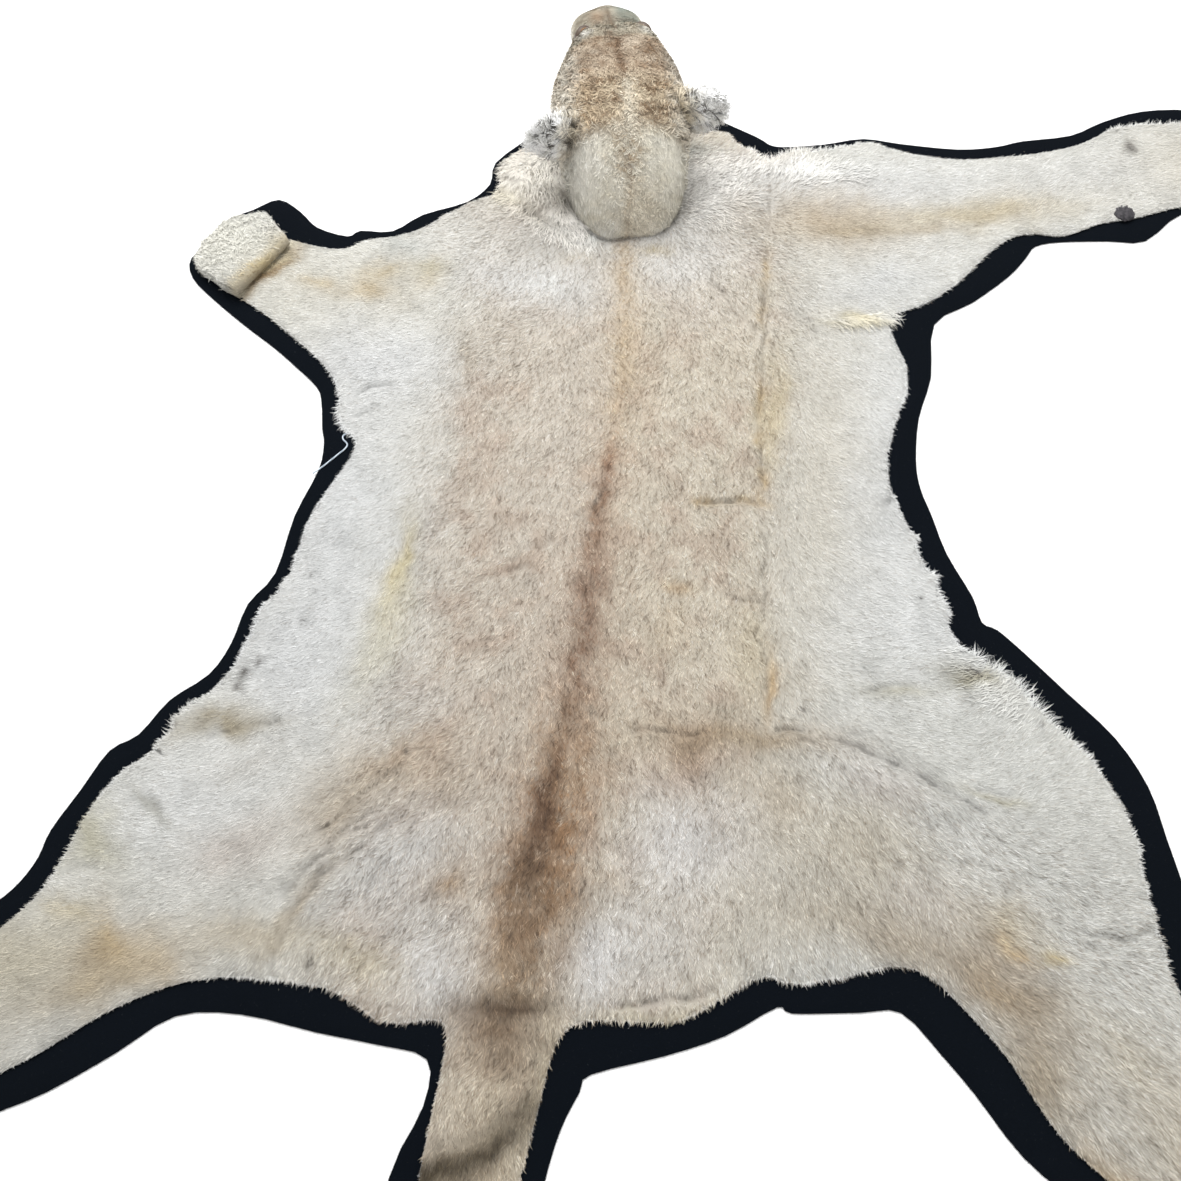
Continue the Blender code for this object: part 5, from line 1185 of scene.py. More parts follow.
# The long hair
# Longer hair stands at the skin's rim, on the roll of white fur left of the collar, beside the neck, in the
# right armpit and on the folded paw. It is fine, limp and mostly white.

RIM_HAIRS = 29000
RIM_TUFT = 8
LONG_HAIRS = 15000
LOWEST_LONG_HAIR = 0.0038
# Where the hair at the rim is longer: place, how far around, length of the hair
LONG_RIM = (
    (0.50, 0.13, 0.05, 0.028), (0.55, 0.07, 0.06, 0.032), (0.61, 0.02, 0.05, 0.021),
    (0.45, 0.26, 0.10, 0.013), (0.68, -0.12, 0.08, 0.011), (0.42, 0.42, 0.09, 0.010),
    (0.20, 1.00, 0.09, 0.026), (0.36, 0.97, 0.06, 0.012), (0.06, 0.99, 0.05, 0.018),
    (0.80, 1.15, 0.08, 0.018), (-0.48, 0.41, 0.045, 0.018), (-0.59, -0.08, 0.05, 0.016),
    (-0.52, 0.06, 0.10, 0.010), (-0.33, 0.95, 0.08, 0.009), (-0.26, 1.00, 0.05, 0.010),
    (0.30, -0.30, 0.12, 0.007), (-0.40, -0.41, 0.10, 0.007), (-0.66, -0.30, 0.07, 0.009),
    (0.70, -0.30, 0.08, 0.007), (-0.44, 0.47, 0.05, 0.012),
)
# Long hair on the face of the skin: name, place, half width and half length, turn, length, lift, share of the
# hairs, and the spread of its tufts
LONG_PLACES = (
    ("roll left of the collar", -0.232, 0.868, 0.095, 0.028, -38, 0.020, 0.003, 0.30, 0.30),
    ("left of the neck", -0.255, 0.935, 0.040, 0.045, 0, 0.017, 0.003, 0.12, 0.45),
    ("beside the neck", -0.205, 0.905, 0.028, 0.048, -35, 0.026, 0.014, 0.10, 0.50),
    ("right of the neck", 0.050, 0.925, 0.055, 0.060, 0, 0.017, 0.003, 0.16, 0.45),
    ("right arm", 0.200, 0.985, 0.080, 0.022, 0, 0.026, 0.003, 0.09, 0.50),
    ("right armpit", 0.312, 0.692, 0.040, 0.006, 18, 0.030, 0.003, 0.02, 0.30),
    ("folded paw", -0.716, 0.714, 0.058, 0.052, 0, 0.011, 0.004, 0.19, 6.28),
    ("right flank", 0.495, 0.095, 0.050, 0.022, -40, 0.018, 0.003, 0.04, 0.50),
)


def shades_of(colour, *shares, top=0.93):
    """The colours of hairs from root to tip, each a share of the hair's own colour: shares below 1 at the
    roots are painted shade among the hairs, and shares above 1 at the tips painted light.
    """
    return np.stack([colour * share for share in shares], axis=1).clip(0.002, top)


rim_place, rim_way = even_steps(smooth_rim, RIM_HAIRS)
maker = np.random.default_rng(17)
shift = maker.uniform(-0.0004, 0.0050, RIM_HAIRS)
rim_root = np.zeros((RIM_HAIRS, 3))
rim_root[:, :2] = rim_place - rim_way * shift[:, None]
rim_root[:, 2] = 0.0066 + 0.0008 * maker.random(RIM_HAIRS)
rim_long = np.full(RIM_HAIRS, 0.0036)
for lx, ly, around, long in LONG_RIM:
    fall = hump(np.hypot(rim_place[:, 0] - lx, rim_place[:, 1] - ly), 0, around)
    rim_long = np.maximum(rim_long, long * fall)
number = np.arange(RIM_HAIRS) // RIM_TUFT
middle = ((number + 0.15 + 0.7 * hashed(number, 5, 61)) * RIM_TUFT).clip(0, RIM_HAIRS - 1).astype(int)
flow = lie_at(rim_place[:, 0], rim_place[:, 1])[middle]
rim_lie = unit(0.85 * rim_way[middle] + 0.60 * np.stack((np.cos(flow), np.sin(flow)), axis=1))
inward = np.sum(rim_lie * rim_way[middle], axis=1) < 0.25
rim_lie[inward] = rim_way[middle][inward]
single = maker.random(RIM_HAIRS) < 0.45
turn = np.where(single, maker.normal(0, 0.4, RIM_HAIRS), hashed(number, 7, 61) - 0.5)
bend = np.where(single, maker.normal(0, 0.4, RIM_HAIRS), 1.5 * (hashed(number, 9, 61) - 0.5))
single_long = rim_long * maker.uniform(0.3, 1.0, RIM_HAIRS)
lock_long = rim_long[middle] * (0.35 + 0.85 * hashed(number, 11, 61)) * maker.uniform(0.75, 1.05, RIM_HAIRS)
rim_long = np.where(single, single_long, lock_long)
rim_spine = np.repeat(rim_root[:, None], 3, axis=1)
for step, share, gather in ((1, 0.5, 0.35), (2, 1.0, 0.75)):
    pull = np.where(single, 0.0, gather)[:, None]
    astray = maker.normal(0, 0.0003, (RIM_HAIRS, 2))
    rim_spine[:, step, :2] += (rim_place[middle] - rim_root[:, :2]) * pull + astray
    rim_spine[:, step, :2] += turned_by(rim_lie, turn + bend * share) * (rim_long * share)[:, None]
rim_spine[:, 1, 2] += maker.uniform(-0.0004, 0.0012, RIM_HAIRS)
rim_spine[:, 2, 2] = 0.0042 + 0.0032 * maker.random(RIM_HAIRS)
rim_side = unit(np.stack((-rim_lie[:, 1], rim_lie[:, 0], maker.normal(0, 0.3, RIM_HAIRS)), axis=1))
rim_colour = coat_colour(rim_place[:, 0] - rim_way[:, 0] * 0.01, rim_place[:, 1] - rim_way[:, 1] * 0.01)
rim_colour = dyed_for(0.75 * rim_colour + 0.25 * dye(232, 236, 240))
rim_colour *= (1 + 0.08 * maker.normal(0, 1, RIM_HAIRS))[:, None]
rim_hair = strands(
    "rim_hair", rim_spine, rim_side, (0.00028, 0.00020, 0.0), shades_of(rim_colour, 0.85, 1.0, 1.05),
)
rim_hair.data.materials.append(coat_material)

roots = []
for number, (_, px, py, wide, deep, turn, long, lift, share, spread) in enumerate(LONG_PLACES):
    c, s = math.cos(math.radians(turn)), math.sin(math.radians(turn))

    def within(middle, facing):
        """More hair towards the middle of this place, and none outside it or on what faces down."""
        u = ((middle[:, 0] - px) * c + (middle[:, 1] - py) * s) / wide
        v = (-(middle[:, 0] - px) * s + (middle[:, 1] - py) * c) / deep
        return np.exp(-(u * u + v * v)) * (u * u + v * v < 2.2) * (facing[:, 2] > 0.1)

    root, slant = roots_on(hide, int(LONG_HAIRS * share), 70 + number, within)
    roots.append(np.hstack((root, slant, np.full((len(root), 3), (long, lift, spread)))))
roots = np.vstack(roots)
roots = roots[in_order(roots[:, 0], roots[:, 1], 0.02)]
root, slant, long, lift, spread = roots[:, :3], roots[:, 3:6], roots[:, 6], roots[:, 7], roots[:, 8]
tuft_x, tuft_y, mark = tufts_of(root[:, 0], root[:, 1], 0.0048, 81)
angle = lie_at(tuft_x, tuft_y) + spread * (mark - 0.5) + maker.normal(0, 0.10, len(root))
long = long * maker.uniform(0.55, 1.1, len(root))
way = unit(along_skin(np.stack((np.cos(angle), np.sin(angle), np.zeros(len(root))), axis=1), slant))
across = np.cross(way, slant)
curl = maker.normal(0, 0.16, len(root))[:, None] * across
long_spine = [root - slant * 0.0006]
for share, aside, rise in (
    (0.40, 0.4, maker.uniform(0.5, 1.0, len(root))), (0.75, 1.3, 0.9), (1.00, 2.2, 0.35),
):
    long_spine.append(root + (way + aside * curl) * (share * long)[:, None] + slant * (rise * lift)[:, None])
long_spine = np.stack(long_spine, axis=1)
long_spine[:, 1:, 2] = np.maximum(long_spine[:, 1:, 2], LOWEST_LONG_HAIR)
uneven = 1 + 0.13 * (2 * mark - 1) + 0.09 * maker.normal(0, 1, len(root))
long_colour = dyed_for(coat_colour(root[:, 0], root[:, 1]) * uneven[:, None])
long_hair = strands(
    "long_hair", long_spine, across, (0.00048, 0.00044, 0.00032, 0.0),
    shades_of(long_colour, 0.55, 0.88, 1.0, 1.08),
)
long_hair.data.materials.append(coat_material)


# The pad of the right forepaw
# The small dark pad behind the right wrist stayed on the skin. It is bare, dark grey and wrinkled, grew on
# the back of the leg, and so stands out at the rim where the skin was spread flat.

PAD_AT = (0.7425, 0.9585, 0.0085)
PAD_SIZE = (0.0175, 0.0155, 0.0062)

bpy.ops.object.select_all(action="DESELECT")
bpy.ops.mesh.primitive_ico_sphere_add(subdivisions=4, radius=1.0, location=(0.0, 0.0, 0.0))
pad = bpy.context.object
pad.name = "wrist_pad"
places, _ = read_places(pad)
x, y, z = places.T
folds = 0.13 * drift(x * 2 + z, y, 0.32, 101) + 0.07 * drift(x, y * 2 - z, 0.17, 102)
places = places * (1 + folds - 0.16 * hump(x, 0, 0.12) * (z > 0))[:, None]
write_places(pad, places * np.array(PAD_SIZE) + np.array(PAD_AT))
bpy.ops.object.shade_smooth()
pad_material, pad_tree, pad_shader = finish_material("bare grey pad", 0.7)
pad_place = node_in(pad_tree, "ShaderNodeTexCoord")
pad_cells = node_in(pad_tree, "ShaderNodeTexVoronoi", Scale=900.0)
pad_cloud = node_in(pad_tree, "ShaderNodeTexNoise", Scale=220.0, Detail=4.0)
pad_ramp = ramp_in(pad_tree, (0.3, dye(22, 22, 26)), (0.75, dye(70, 66, 70)))
pad_bump = node_in(pad_tree, "ShaderNodeBump", Strength=0.5, Distance=0.0006)
for texture in (pad_cells, pad_cloud):
    wire(pad_tree, (pad_place, "Object", texture, "Vector"))
wire(
    pad_tree, (pad_cloud, "Fac", pad_ramp, "Fac"), (pad_ramp, "Color", pad_shader, "Base Color"),
    (pad_cells, "Distance", pad_bump, "Height"), (pad_bump, "Normal", pad_shader, "Normal"),
)
pad.data.materials.append(pad_material)
coat += [rim_hair, long_hair, pad]
for piece in [hide] + coat:
    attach(piece, "root")
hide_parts("hide")


# The head
# The head skin stretched over a filled form, sewn to the neck. It has short hair on the face, rough curly
# hair on the crown and a smooth pale back of the neck with a rough seam down its middle. The mouth is closed,
# and stiff white whiskers stand from the pads at each side of the nose.

HEAD_AT = Vector((-0.06647, 0.80667, 0.0))
HEAD_TURN = math.radians(12.0)
FORWARD = np.array((-math.sin(HEAD_TURN), math.cos(HEAD_TURN), 0.0))
RIGHT = np.array((math.cos(HEAD_TURN), math.sin(HEAD_TURN), 0.0))
UP = np.array((0.0, 0.0, 1.0))
EYE_FORWARD, EYE_OUT, EYE_UP, EYE_RADIUS = 0.304, 0.045, 0.1455, 0.0165
# The muzzle's skin lies a little lower and shorter than the form
MUZZLE_DROP, MUZZLE_SHORT = 0.10, 0.006
HEAD_HAIRS = 92000
CROWN_CURLS = 10500
# The line of the closed mouth on one side: forward, out and up
MOUTH = (
    (0.441, 0.000, 0.051), (0.432, 0.022, 0.043), (0.414, 0.044, 0.038), (0.385, 0.060, 0.039),
    (0.350, 0.068, 0.045),
)
NOSTRIL = (0.438, 0.0125, 0.076)
# Rows of whisker roots on one side: forward and up
WHISKER_ROOTS = (
    (0.424, 0.075), (0.414, 0.078), (0.403, 0.080), (0.392, 0.081), (0.422, 0.067), (0.411, 0.070),
    (0.400, 0.072), (0.387, 0.073), (0.418, 0.059), (0.408, 0.062), (0.395, 0.064), (0.383, 0.065),
)


def head_numbers(place):
    """How far forward, out to the right and up each place is, in the head's own directions."""
    away = np.asarray(place) - np.array(HEAD_AT)
    return away @ FORWARD, away @ RIGHT, away[..., 2]


def from_head(forward, out, up):
    """The place that is so far forward, out to the right and up in the head's own directions."""
    return np.array(HEAD_AT) + forward * FORWARD + out * RIGHT + up * UP


def mouth_gap(f, r, u):
    """How far each place of the head is from the line of the mouth, on either side."""
    here = np.stack((f, np.abs(r), u), axis=1)
    gap = np.full(len(here), 1e9)
    for a, b in zip(MOUTH, MOUTH[1:]):
        a, b = np.array(a), np.array(b)
        t = np.clip(((here - a) @ (b - a)) / ((b - a) @ (b - a)), 0, 1)
        gap = np.minimum(gap, np.linalg.norm(here - a - t[:, None] * (b - a), axis=1))
    return gap


def seam_share(f, r):
    """1 along the rough seam of the neck's back, which is wide at the crown and narrow at the nape."""
    half = 0.006 + 0.025 * soft_step(f, 0.018, 0.050)
    return hump(r, -0.001 - 0.002 * np.sin(f * 160), half) * until(f, 0.095, 0.115)


head = copy_of_node("head", "head_skin")
edit_whole()
cut_finer(1)
pick_faces(head, faces_of(head)[0][:, 2] > 0.02)
bpy.ops.mesh.vertices_smooth(factor=0.5, repeat=2)
bpy.ops.object.mode_set(mode="OBJECT")
middles, _ = faces_of(head)
pick_faces(head, (head_numbers(middles)[0] > 0.25) & (middles[:, 2] > 0.01))
bpy.ops.mesh.subdivide(number_cuts=2)
bpy.ops.mesh.quads_convert_to_tris()
bpy.ops.object.mode_set(mode="OBJECT")
places, _ = read_places(head)
f, r, u = head_numbers(places)
drop = MUZZLE_DROP * u * soft_step(f, 0.325, 0.395) + MUZZLE_SHORT * 0.6 * soft_step(f, 0.36, 0.44)
places = places - UP * drop[:, None] - FORWARD * (MUZZLE_SHORT * soft_step(f, 0.36, 0.44))[:, None]
places[:, 2] = np.maximum(places[:, 2], 0.0)
write_places(head, places)
places, slants = read_places(head)
f, r, u = head_numbers(places)
out = np.abs(r)
nostril_gap = np.sqrt((f - NOSTRIL[0]) ** 2 + (out - NOSTRIL[1]) ** 2 + ((u - NOSTRIL[2]) * 1.3) ** 2)
# The mouth, the nostrils, the line under the nose, the nape's seam, the crown's middle, the folds over the
# eyes and the muzzle's middle
sink = 0.0042 * hump(mouth_gap(f, r, u), 0, 0.0040)
sink += 0.0052 * hump(nostril_gap, 0, 0.0050)
sink += 0.0026 * hump(r, 0, 0.0024) * soft_step(f, 0.395, 0.435) * window(u, 0.044, 0.052, 0.070, 0.082)
sink += 0.0030 * hump(r, -0.004, 0.004) * until(f, 0.045, 0.07) * soft_step(u, 0.03, 0.06)
sink += 0.0030 * hump(r, 0, 0.008) * window(f, 0.10, 0.14, 0.245, 0.275) * soft_step(u, 0.12, 0.15)
sink += 0.0030 * hump(f, 0.252 + 0.12 * out, 0.005) * until(out, 0.030, 0.050) * soft_step(u, 0.14, 0.16)
sink += 0.0030 * hump(r, 0, 0.006) * window(f, 0.270, 0.300, 0.34, 0.37) * soft_step(u, 0.10, 0.12)
swell = 0.0030 * np.exp(-((f - 0.419) ** 2 + (out - 0.036) ** 2 + (u - 0.061) ** 2) / 0.016 ** 2)
crown_share = window(f, 0.085, 0.115, 0.16, 0.19) * soft_step(u, 0.10, 0.14)
rough = np.maximum(crown_share, 0.9 * seam_share(f, r))
x, y, z = places.T
swell += 0.0026 * drift(x + z, y - z, 0.018, 91) * (0.25 + rough) * soft_step(u, 0.02, 0.04)
write_places(head, places + slants * (swell - sink)[:, None])
bpy.ops.object.shade_smooth_by_angle(angle=math.radians(75))


def head_colour(f, r, u):
    """The colour of the hair at each place of the head, as it looks."""
    out = np.abs(r)
    lumps = np.clip(0.5 + 0.75 * drift(f * 1.3 + u, r + u, 0.016, 92), 0, 1)
    fine = np.clip(0.5 + 0.75 * drift(f + u, r - u, 0.0055, 93), 0, 1)
    seam = seam_share(f, r)
    dome = until(f, 0.085, 0.112)
    crown = window(f, 0.085, 0.112, 0.155, 0.185) * soft_step(u, 0.09, 0.13)
    front = soft_step(f, 0.250, 0.262)
    above = soft_step(u, 0.10 - 0.025 * front, 0.14 - 0.043 * front)
    face = window(f, 0.155, 0.185, 0.250, 0.262) * above
    muzzle = front * above
    edge = soft_step(out, 0.058, 0.084) * (1 - dome) * (1 - front)
    eye = np.sqrt(((f - EYE_FORWARD - 0.004) / 0.9) ** 2 + (out - EYE_OUT) ** 2 + (u - EYE_UP) ** 2)
    seam_line = hump(r, -0.002 - 0.004 * np.sin(f * 120), 0.0020) * until(f, 0.050, 0.065)
    brow_width = 0.005 + 0.05 * np.clip(f - 0.16, 0, 0.05)
    brow_line = hump(r, -0.001 + 0.003 * np.sin(f * 80), brow_width) * window(f, 0.150, 0.175, 0.246, 0.258)
    eye_fold = hump(f, 0.252 + 0.12 * out, 0.0035) * until(out, 0.026, 0.046)
    tear_line = hump(out, 0.030 - 0.35 * (f - 0.32), 0.004) * window(f, 0.318, 0.326, 0.340, 0.350)
    layers = [
        # The back of the neck and its seam
        ((222, 214, 196), 0.85 * until(u, 0.065, 0.125)),
        ((224, 219, 202), 0.95 * dome),
        # Painted light at the nape's rounded end of the dome, which would otherwise lie in shade
        ((246, 242, 230), 0.8 * dome * until(f, -0.004, 0.024)),
        ((198, 187, 160), 0.5 * dome * (1 - lumps)),
        ((218, 214, 202), 0.6 * dome * soft_step(-r, 0.02, 0.07) * soft_step(f, 0.02, 0.05)),
        ((222, 212, 190), 0.9 * seam * (0.4 + 0.6 * fine)),
        # Painted shade in the gaps between the seam's curls
        ((142, 116, 84), 1.05 * seam * (1 - fine) * (1 - lumps)),
        ((132, 108, 84), 0.75 * seam_line),
        ((226, 212, 186), 0.75 * hump(r, 0.016, 0.036) * hump(f, 0.012, 0.026)),
        # The crown
        ((192, 172, 142), 0.9 * crown * (0.5 + 0.5 * lumps)),
        # Painted shade in the gaps between the crown's curls
        ((114, 92, 68), 1.6 * crown * (1 - lumps) * (1 - fine)),
        ((214, 203, 180), 0.75 * hump(r, 0.006, 0.011) * window(f, 0.075, 0.10, 0.15, 0.18)),
        ((176, 146, 112), 0.55 * hump(r, -0.060, 0.030) * crown * lumps),
        ((192, 160, 122), 0.7 * hump(out, 0.080, 0.018) * hump(f, 0.165, 0.026) * soft_step(u, 0.09, 0.12)),
        # The forehead
        ((177, 156, 131), 0.95 * face),
        ((202, 183, 159), 0.75 * face * lumps),
        ((122, 98, 74), 1.2 * face * (1 - lumps) * fine),
        ((218, 210, 192), 0.9 * edge * (0.4 + 0.6 * lumps)),
        ((104, 79, 56), 0.95 * brow_line * above),
        # The muzzle and the folds over the eyes
        ((180, 172, 152), 0.95 * muzzle),
        ((112, 98, 78), 0.8 * muzzle * (1 - lumps) * (0.4 + 0.6 * fine)),
        ((128, 144, 134), 0.75 * muzzle * soft_step(r, 0.004, 0.026) * (0.4 + 0.6 * lumps)
         * soft_step(f, 0.29, 0.35)),
        ((186, 152, 120), 0.75 * hump(r, -0.018, 0.013) * hump(f, 0.372, 0.035) * above),
        ((190, 176, 152), 0.5 * muzzle * hump(out, 0.030, 0.012) * until(f, 0.29, 0.32)),
        ((104, 82, 62), 0.85 * eye_fold * above * (0.45 + 0.55 * fine)),
        ((112, 90, 70), 0.75 * hump(r, -0.012, 0.0065) * hump(f, 0.262, 0.0065) * above),
        ((112, 92, 70), 0.85 * hump(r, 0, 0.0040) * window(f, 0.262, 0.28, 0.39, 0.43) * above),
        # The light rims of the eyes, painted shade over the front of the face and the dark round the eyes
        ((238, 234, 222), 0.85 * hump(eye, 0.0225, 0.0040) * soft_step(out, 0.036, 0.046)),
        ((236, 232, 220), 0.85 * hump(f, 0.272, 0.008) * hump(out, 0.047, 0.009) * above),
        ((0, 0, 0), 0.20 * soft_step(f, 0.165, 0.200) * above),
        ((228, 222, 206), 0.8 * hump(f, 0.318, 0.030) * hump(u, 0.108, 0.014) * soft_step(out, 0.03, 0.05)),
        ((92, 74, 58), 0.8 * hump(eye, 0.0178, 0.0022)),
        ((60, 46, 34), 0.6 * tear_line * window(u, 0.11, 0.13, 0.146, 0.152)),
        # The lips, the chin, the whiskers' roots and the mouth
        ((233, 228, 216), 0.85 * soft_step(f, 0.36, 0.39) * until(u, 0.074, 0.088)),
        ((236, 232, 222), 0.85 * soft_step(f, 0.30, 0.38) * until(u, 0.028, 0.042)),
    ]
    for wf, wu in WHISKER_ROOTS:
        dot = hump(np.hypot(f - wf, u - wu), 0, 0.0017) * soft_step(out, 0.024, 0.034)
        layers.append(((70, 56, 44), 0.75 * dot))
    layers.append(((84, 60, 46), 0.9 * hump(mouth_gap(f, r, u), 0, 0.0030)))
    colour = np.repeat(dye(204, 182, 152)[None], len(f), axis=0)
    for shade, share in layers:
        colour = painted(colour, shade, np.clip(share, 0, 1))
    speckle = 0.09 * drift(f + u, r, 0.012, 94) + (0.09 + 0.12 * above) * drift(f - u, r, 0.0042, 90)
    return (colour * (1 + speckle)[:, None]).clip(0.004, 0.88)


def nose_share(f, r, u):
    """1 on the bare leather of the nose and 0 on the hair."""
    wide = np.sqrt(((f - 0.444) / 0.0225) ** 2 + (r / 0.0235) ** 2 + ((u - 0.0845) / 0.0175) ** 2)
    return 1 - soft_step(wide, 0.88, 1.02)


places, _ = read_places(head)
f, r, u = head_numbers(places)
leather = nose_share(f, r, u)
# The skin under the head's hair is darker as painted shade among the roots, and the nostrils darker still as
# painted shade in their hollows
skin = painted(dyed_for(head_colour(f, r, u)) * 0.72, (92, 62, 52), leather)
give_colours(head, skin * (1 - 0.8 * hump(nostril_gap, 0, 0.0052))[:, None])
own_numbers(head, "leather", leather)
head_material, head_tree, head_shader = finish_material("head skin", 0.75)
head_dye = node_in(head_tree, "ShaderNodeAttribute", attribute_name="hair_colour")
head_leather = node_in(head_tree, "ShaderNodeAttribute", attribute_name="leather")
head_place = node_in(head_tree, "ShaderNodeTexCoord")
head_pebble = node_in(head_tree, "ShaderNodeTexVoronoi", Scale=620.0)
head_nap = node_in(head_tree, "ShaderNodeTexNoise", Scale=300.0, Detail=4.0)
head_height = node_in(head_tree, "ShaderNodeMix")
head_dull = node_in(head_tree, "ShaderNodeMapRange")
head_dull.inputs["To Min"].default_value = 0.82
head_dull.inputs["To Max"].default_value = 0.42
head_bump = node_in(head_tree, "ShaderNodeBump", Strength=0.5, Distance=0.0008)
for texture in (head_pebble, head_nap):
    wire(head_tree, (head_place, "Object", texture, "Vector"))
wire(
    head_tree, (head_leather, "Fac", head_height, "Factor"), (head_nap, "Fac", head_height, "A"),
    (head_pebble, "Distance", head_height, "B"), (head_height, "Result", head_bump, "Height"),
    (head_leather, "Fac", head_dull, "Value"), (head_dull, "Result", head_shader, "Roughness"),
    (head_dye, "Color", head_shader, "Base Color"), (head_bump, "Normal", head_shader, "Normal"),
)
head.data.materials.append(head_material)


def on_tufts(root, size, seed):
    """A steady number from 0 to 1 for the tuft that each hair of a rounded piece belongs to."""
    return tufts_of(root @ np.array((1.0, 0.3, 0.8)), root @ np.array((-0.2, 1.0, 0.7)), size, seed)[2]


def roots_in_order(piece, count, seed, wanted, strip):
    """Random places on the accepted faces, as from roots_on, with neighbours kept together."""
    root, slant = roots_on(piece, count, seed, wanted)
    order = in_order(root[:, 0], root[:, 1], strip)
    return root[order], slant[order]


def curled(root, slant, aim, aside, long, steps, sunk):
    """Where curls run. Each step says how far along, up and aside the next point is, for a length of 1."""
    points = [root - slant * sunk]
    for share, rise, swerve in steps:
        points.append(root + (share * aim + rise * slant + swerve * aside) * long[:, None])
    return np.stack(points, axis=1)


def hairy_head(middle, facing):
    """How densely the head's faces grow short hair: none on the nose, the eyes and the underside."""
    f, r, u = head_numbers(middle)
    bare = nose_share(f, r, u) > 0.5
    eye = np.sqrt((f - EYE_FORWARD) ** 2 + (np.abs(r) - EYE_OUT) ** 2 + (u - EYE_UP) ** 2)
    eye = eye < EYE_RADIUS + 0.0010
    under = (facing[:, 2] < -0.55) | (u < 0.006)
    return (1 + 1.2 * soft_step(f, 0.23, 0.30)) * ~(bare | eye | under)


maker = np.random.default_rng(23)
root, slant = roots_in_order(head, HEAD_HAIRS, 24, hairy_head, 0.006)
f, r, u = head_numbers(root)
side = np.sign(r)
dome = until(f, 0.085, 0.112)
face = soft_step(f, 0.155, 0.185)
muzzle = soft_step(f, 0.35, 0.40)
crown = (1 - dome) * (1 - face) * soft_step(u, 0.10, 0.14)
rough = np.maximum(crown, seam_share(f, r))
aim = -FORWARD * (1 - 0.2 * muzzle)[:, None] + RIGHT * (side * 0.35 * (1 - muzzle))[:, None]
aim = aim - UP * (0.55 * until(u, 0.06, 0.14))[:, None]
aim = aim + (RIGHT * side[:, None] - UP * 0.7) * (1.2 * muzzle * until(u, 0.08, 0.10))[:, None]
mark = on_tufts(root, 0.0042, 95)
aim = unit(along_skin(aim, slant))
veer = (0.25 + 0.8 * rough) * 2.0 * (mark - 0.5) + maker.normal(0, 0.16, len(f))
aim = swung(aim, np.cross(aim, slant), veer)
long = 0.0090 * dome + 0.0095 * (1 - dome) * (1 - face) + 0.0060 * face * (1 - muzzle) + 0.0040 * muzzle
long = long + 0.005 * until(u, 0.04, 0.09) * (1 - muzzle)
long *= maker.uniform(0.7, 1.15, len(f))
lift = 0.10 + 0.25 * rough * np.mod(mark * 7.1, 1) + 0.08 * maker.random(len(f))
tip = root + (aim + slant * lift[:, None]) * long[:, None]
tip[:, 2] = np.maximum(tip[:, 2], 0.0006)
across = swung(np.cross(aim, slant), slant, maker.normal(0, 0.35, len(f)))
shade = (1 + 0.28 * (2 * np.mod(mark * 31.7, 1) - 1)) * (1 + 0.20 * maker.normal(0, 1, len(f)).clip(-2, 2))
widths = np.stack((0.00040 + 0.00016 * maker.random(len(f)), np.zeros(len(f))), axis=1)
head_hair = strands(
    "head_hair", np.stack((root - slant * 0.0005, tip), axis=1), across, widths,
    shades_of(dyed_for(head_colour(f, r, u) * shade[:, None]), 0.64, 1.04),
)
head_hair.data.materials.append(coat_material)


def crown_faces(middle, facing):
    """How densely the head's faces grow curls: on the crown, the seam, the sides, the nape and the brows."""
    f, r, u = head_numbers(middle)
    crown = soft_step(f, 0.085, 0.110) * (1 - 0.50 * soft_step(f, 0.150, 0.180)) * until(f, 0.275, 0.300)
    seam = seam_share(f, r) * soft_step(u, 0.03, 0.05)
    side = 0.35 * window(f, 0.05, 0.10, 0.18, 0.22) * window(u, 0.012, 0.03, 0.10, 0.12)
    nape = 0.9 * hump(r, 0.014, 0.036) * hump(f, 0.010, 0.022) * soft_step(u, 0.020, 0.030)
    eye = np.sqrt(((f - EYE_FORWARD + 0.012) / 0.8) ** 2 + (np.abs(r) - EYE_OUT) ** 2)
    brow = 1.6 * hump(eye, 0.022, 0.006) * (f < EYE_FORWARD - 0.006) * soft_step(u, 0.13, 0.145)
    shares = np.max((crown * soft_step(u, 0.085, 0.12), seam, side, nape, brow), axis=0)
    return shares * (facing[:, 2] > -0.5)


root, slant = roots_in_order(head, CROWN_CURLS, 26, crown_faces, 0.01)
f, r, u = head_numbers(root)
out = np.abs(r)
mark = on_tufts(root, 0.0058, 96)
aim = -0.55 * FORWARD + RIGHT * (np.sign(r) * soft_step(out, 0.01, 0.06))[:, None]
aim = unit(along_skin(aim - UP * soft_step(out, 0.06, 0.10)[:, None] * 0.4, slant))
aim = swung(aim, np.cross(aim, slant), 3.4 * (mark - 0.5) + maker.normal(0, 0.25, len(f)))
across = np.cross(aim, slant)
long = maker.uniform(0.007, 0.013, len(f)) * (0.7 + 0.6 * soft_step(out, 0.03, 0.09))
long *= 1 - 0.30 * soft_step(f, 0.16, 0.19)
shade = (1 + 0.26 * (2 * np.mod(mark * 17.9, 1) - 1)) * (1 + 0.10 * maker.normal(0, 1, len(f)))
spine = curled(
    root, slant, aim, (np.mod(mark * 5.3, 1) - 0.5)[:, None] * 1.5 * across, long,
    ((0.45, 0.32, 0.25), (0.80, 0.34, 0.75), (0.92, 0.12, 1.15)), 0.0005,
)
